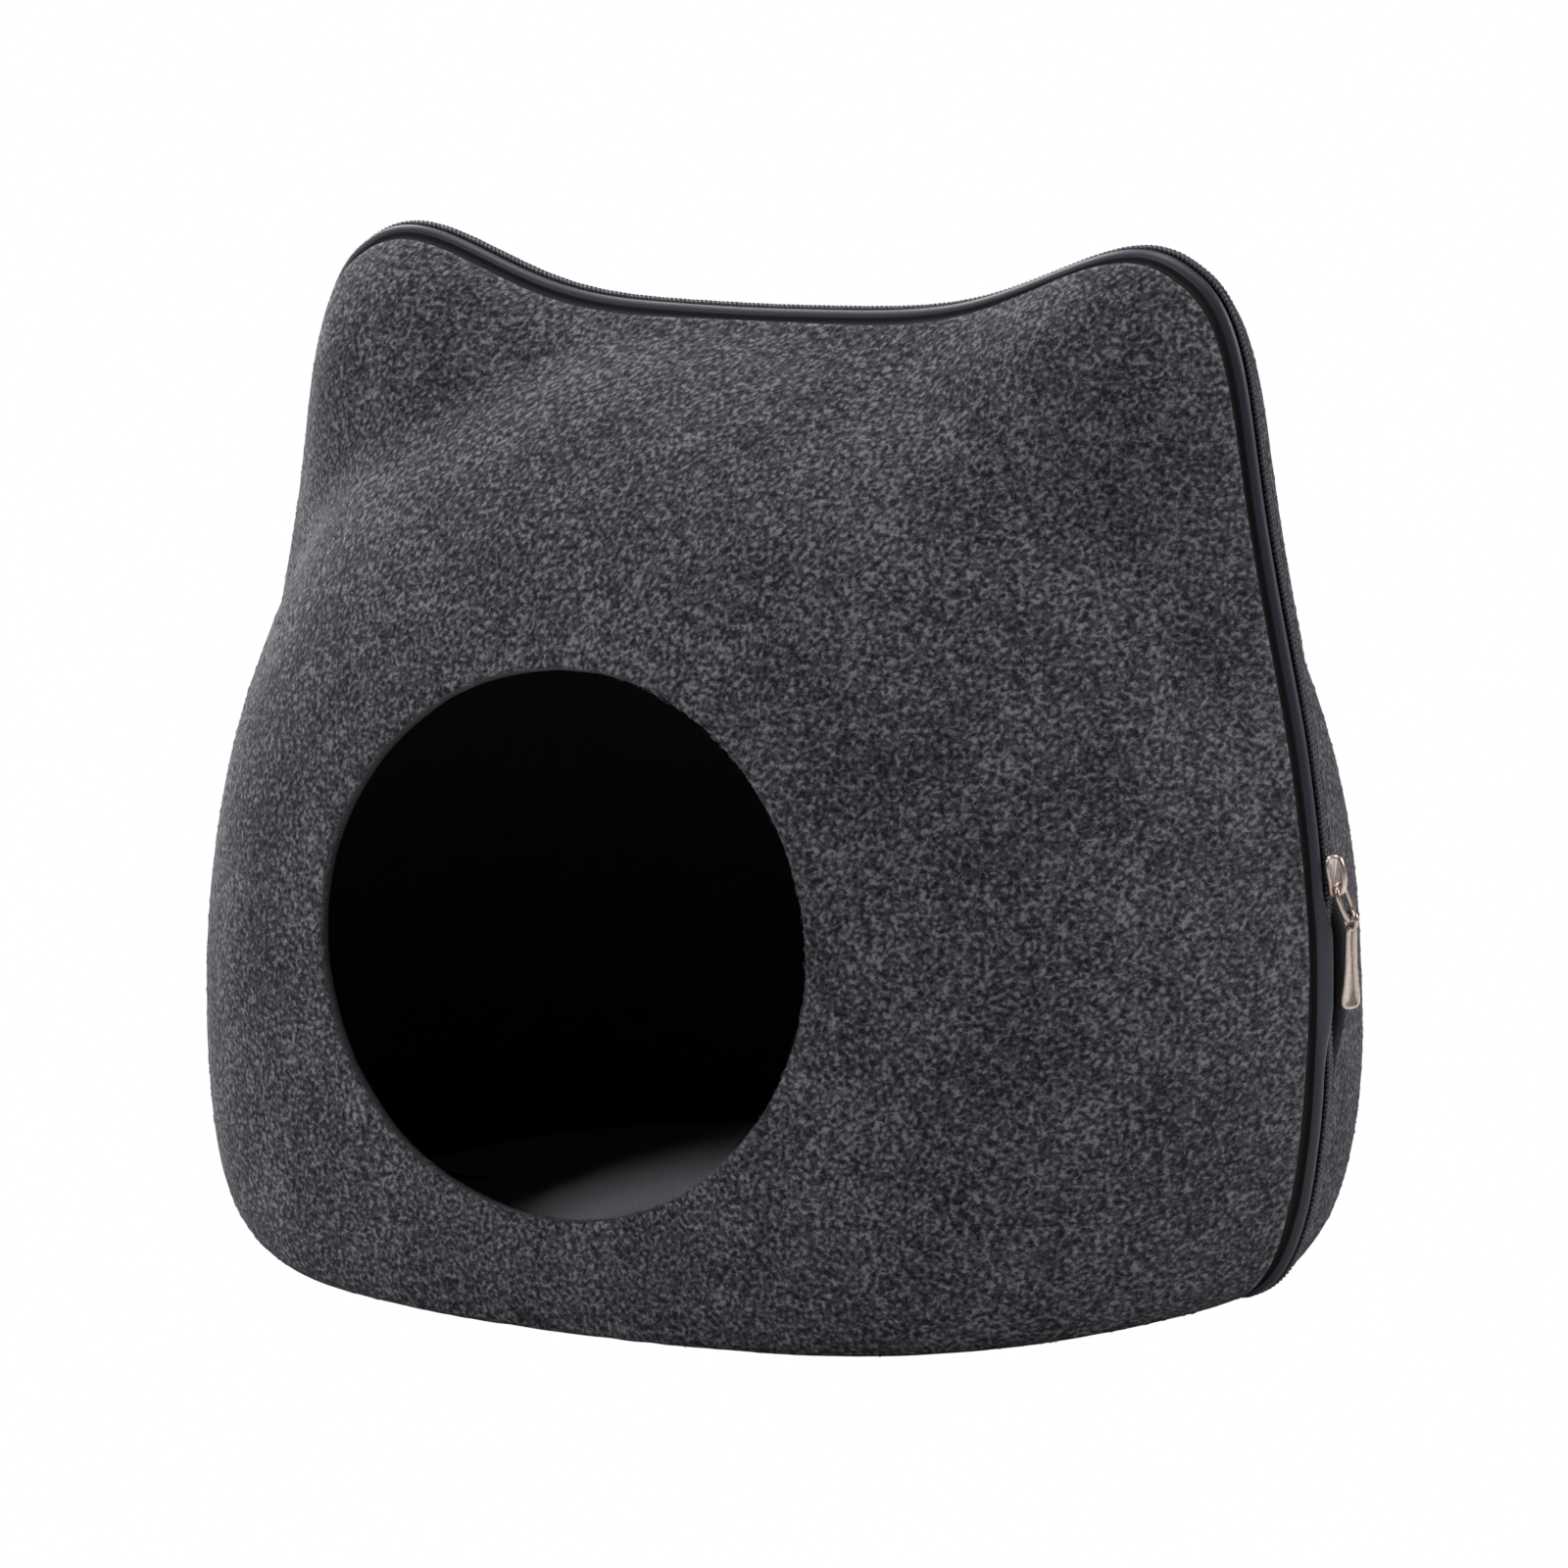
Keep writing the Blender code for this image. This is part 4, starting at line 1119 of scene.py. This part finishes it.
class CAVE_OT_pull(bpy.types.Operator):
    """Cast the slider, its link and its tab"""
    bl_idname = "cave.pull"
    bl_label = "Slider and pull"

    def execute(self, context):
        nickel = nickel_finish()
        make_slider(nickel)
        make_link(nickel)
        make_tab(nickel)
        return {"FINISHED"}


class CAVE_OT_base(bpy.types.Operator):
    """Finish the strip under the base and the lining on the floor"""
    bl_idname = "cave.base"
    bl_label = "Base strip and lining"

    def execute(self, context):
        felt, band = settings()
        tape = cloth_finish("woven_base_strip", band.tape, 0.6)
        cloth = cloth_finish("smooth_floor_lining", felt.lining, 0.8)
        for name, finish in (("base_hinge", tape), ("floor_lining", cloth)):
            node = frame["nodes"][name]
            node.data.materials.clear()
            node.data.materials.append(finish)
        return {"FINISHED"}


# ---- Stage ----

def make_floor(stage):
    """A pale disc that throws light back up; the white room hides it from the camera."""
    shape = bmesh.new()
    bmesh.ops.create_circle(shape, cap_ends=True, segments=96, radius=stage.floor_radius)
    mesh = bpy.data.meshes.new("floor")
    shape.to_mesh(mesh)
    shape.free()
    material, tree, shader = new_material("pale_matt_floor")
    shader.inputs["Base Color"].default_value = (*stage.floor, 1.0)
    shader.inputs["Roughness"].default_value = 1.0
    shader.inputs["Specular IOR Level"].default_value = 0.0
    floor = new_piece("floor", mesh, [material])
    floor.visible_camera = False


def make_room(stage):
    """White walls that the camera sees, and that light the cave only softly."""
    world = bpy.data.worlds.new("white_room")
    world.use_nodes = True
    bpy.context.scene.world = world
    tree = world.node_tree
    wall = tree.nodes["Background"]
    wall.inputs["Color"].default_value = (1.0, 1.0, 1.0, 1.0)
    ray = add_node(tree, "ShaderNodeLightPath")
    strength = add_node(tree, "ShaderNodeMapRange",
                        {"To Min": stage.surround, "To Max": 1.0},
                        {"Value": ray.outputs["Is Camera Ray"]})
    tree.links.new(strength.outputs["Result"], wall.inputs["Strength"])


def make_softbox(name, azimuth, elevation, power, width):
    """A square light that faces the cave; azimuth 0 is in front of the doorway, 90 on its right."""
    light = bpy.data.lights.new(name, "AREA")
    light.shape = "SQUARE"
    light.size = width
    light.energy = power
    lamp = bpy.data.objects.new(name, light)
    bpy.context.scene.collection.objects.link(lamp)
    turn, rise = math.radians(azimuth), math.radians(elevation)
    away = Vector((math.sin(turn) * math.cos(rise), -math.cos(turn) * math.cos(rise),
                   math.sin(rise)))
    middle = Vector((0.0, 0.0, LIGHT_AIM))
    lamp.location = middle + away * LIGHT_DISTANCE
    lamp.location.z = max(lamp.location.z, LIGHT_LOWEST)
    lamp.rotation_euler = (middle - lamp.location).to_track_quat("-Z", "Y").to_euler()


def make_camera():
    azimuth, elevation = math.radians(CAMERA_AZIMUTH), math.radians(CAMERA_ELEVATION)
    back = Vector((math.sin(azimuth) * math.cos(elevation),
                   -math.cos(azimuth) * math.cos(elevation), math.sin(elevation)))
    right = Vector((math.cos(azimuth), math.sin(azimuth), 0.0))
    up = back.cross(right)
    roll = math.radians(CAMERA_ROLL)
    level = right * math.cos(roll) + up * math.sin(roll)
    upright = up * math.cos(roll) - right * math.sin(roll)
    camera = bpy.data.objects.new("camera", bpy.data.cameras.new("camera"))
    camera.data.sensor_width = SENSOR_WIDTH
    camera.data.lens = FOCAL_LENGTH
    place = Vector(CAMERA_TARGET) + back * CAMERA_DISTANCE
    turned = Matrix((level, upright, back)).transposed().to_4x4()
    camera.matrix_world = Matrix.Translation(place) @ turned
    bpy.context.scene.collection.objects.link(camera)
    bpy.context.scene.camera = camera


class CAVE_OT_stage(bpy.types.Operator):
    """Set up the pale floor, the soft lights and the camera"""
    bl_idname = "cave.stage"
    bl_label = "Stage"

    def execute(self, context):
        stage = context.scene.cave_stage
        make_floor(stage)
        make_room(stage)
        for name, azimuth, elevation, share, width in SOFTBOXES:
            make_softbox(name, azimuth, elevation, stage.light * share, width)
        make_camera()
        context.scene.view_settings.view_transform = "Standard"
        return {"FINISHED"}


# ---- Panel and registration ----

STEPS = (CAVE_OT_shells, CAVE_OT_fibres, CAVE_OT_tapes, CAVE_OT_coils, CAVE_OT_pull,
         CAVE_OT_base, CAVE_OT_stage)


class CAVE_PT_steps(bpy.types.Panel):
    """Steps that build the cave"""
    bl_label = "Felt cat cave"
    bl_space_type = "VIEW_3D"
    bl_region_type = "UI"
    bl_category = "Cave"

    def draw(self, context):
        for step in STEPS:
            self.layout.operator(step.bl_idname)


GROUPS = {"cave_felt": FeltSettings, "cave_zip": ZipSettings, "cave_stage": StageSettings}


def register():
    for name, group in GROUPS.items():
        bpy.utils.register_class(group)
        setattr(bpy.types.Scene, name, PointerProperty(type=group))
    for cls in (*STEPS, CAVE_PT_steps):
        bpy.utils.register_class(cls)


def unregister():
    for cls in (CAVE_PT_steps, *reversed(STEPS)):
        bpy.utils.unregister_class(cls)
    for name, group in reversed(GROUPS.items()):
        delattr(bpy.types.Scene, name)
        bpy.utils.unregister_class(group)


def main():
    register()
    bpy.ops.cave.shells()
    bpy.ops.cave.fibres()
    bpy.ops.cave.tapes()
    bpy.ops.cave.coils()
    bpy.ops.cave.pull()
    bpy.ops.cave.base()
    bpy.ops.cave.stage()


if __name__ == "__main__":
    main()
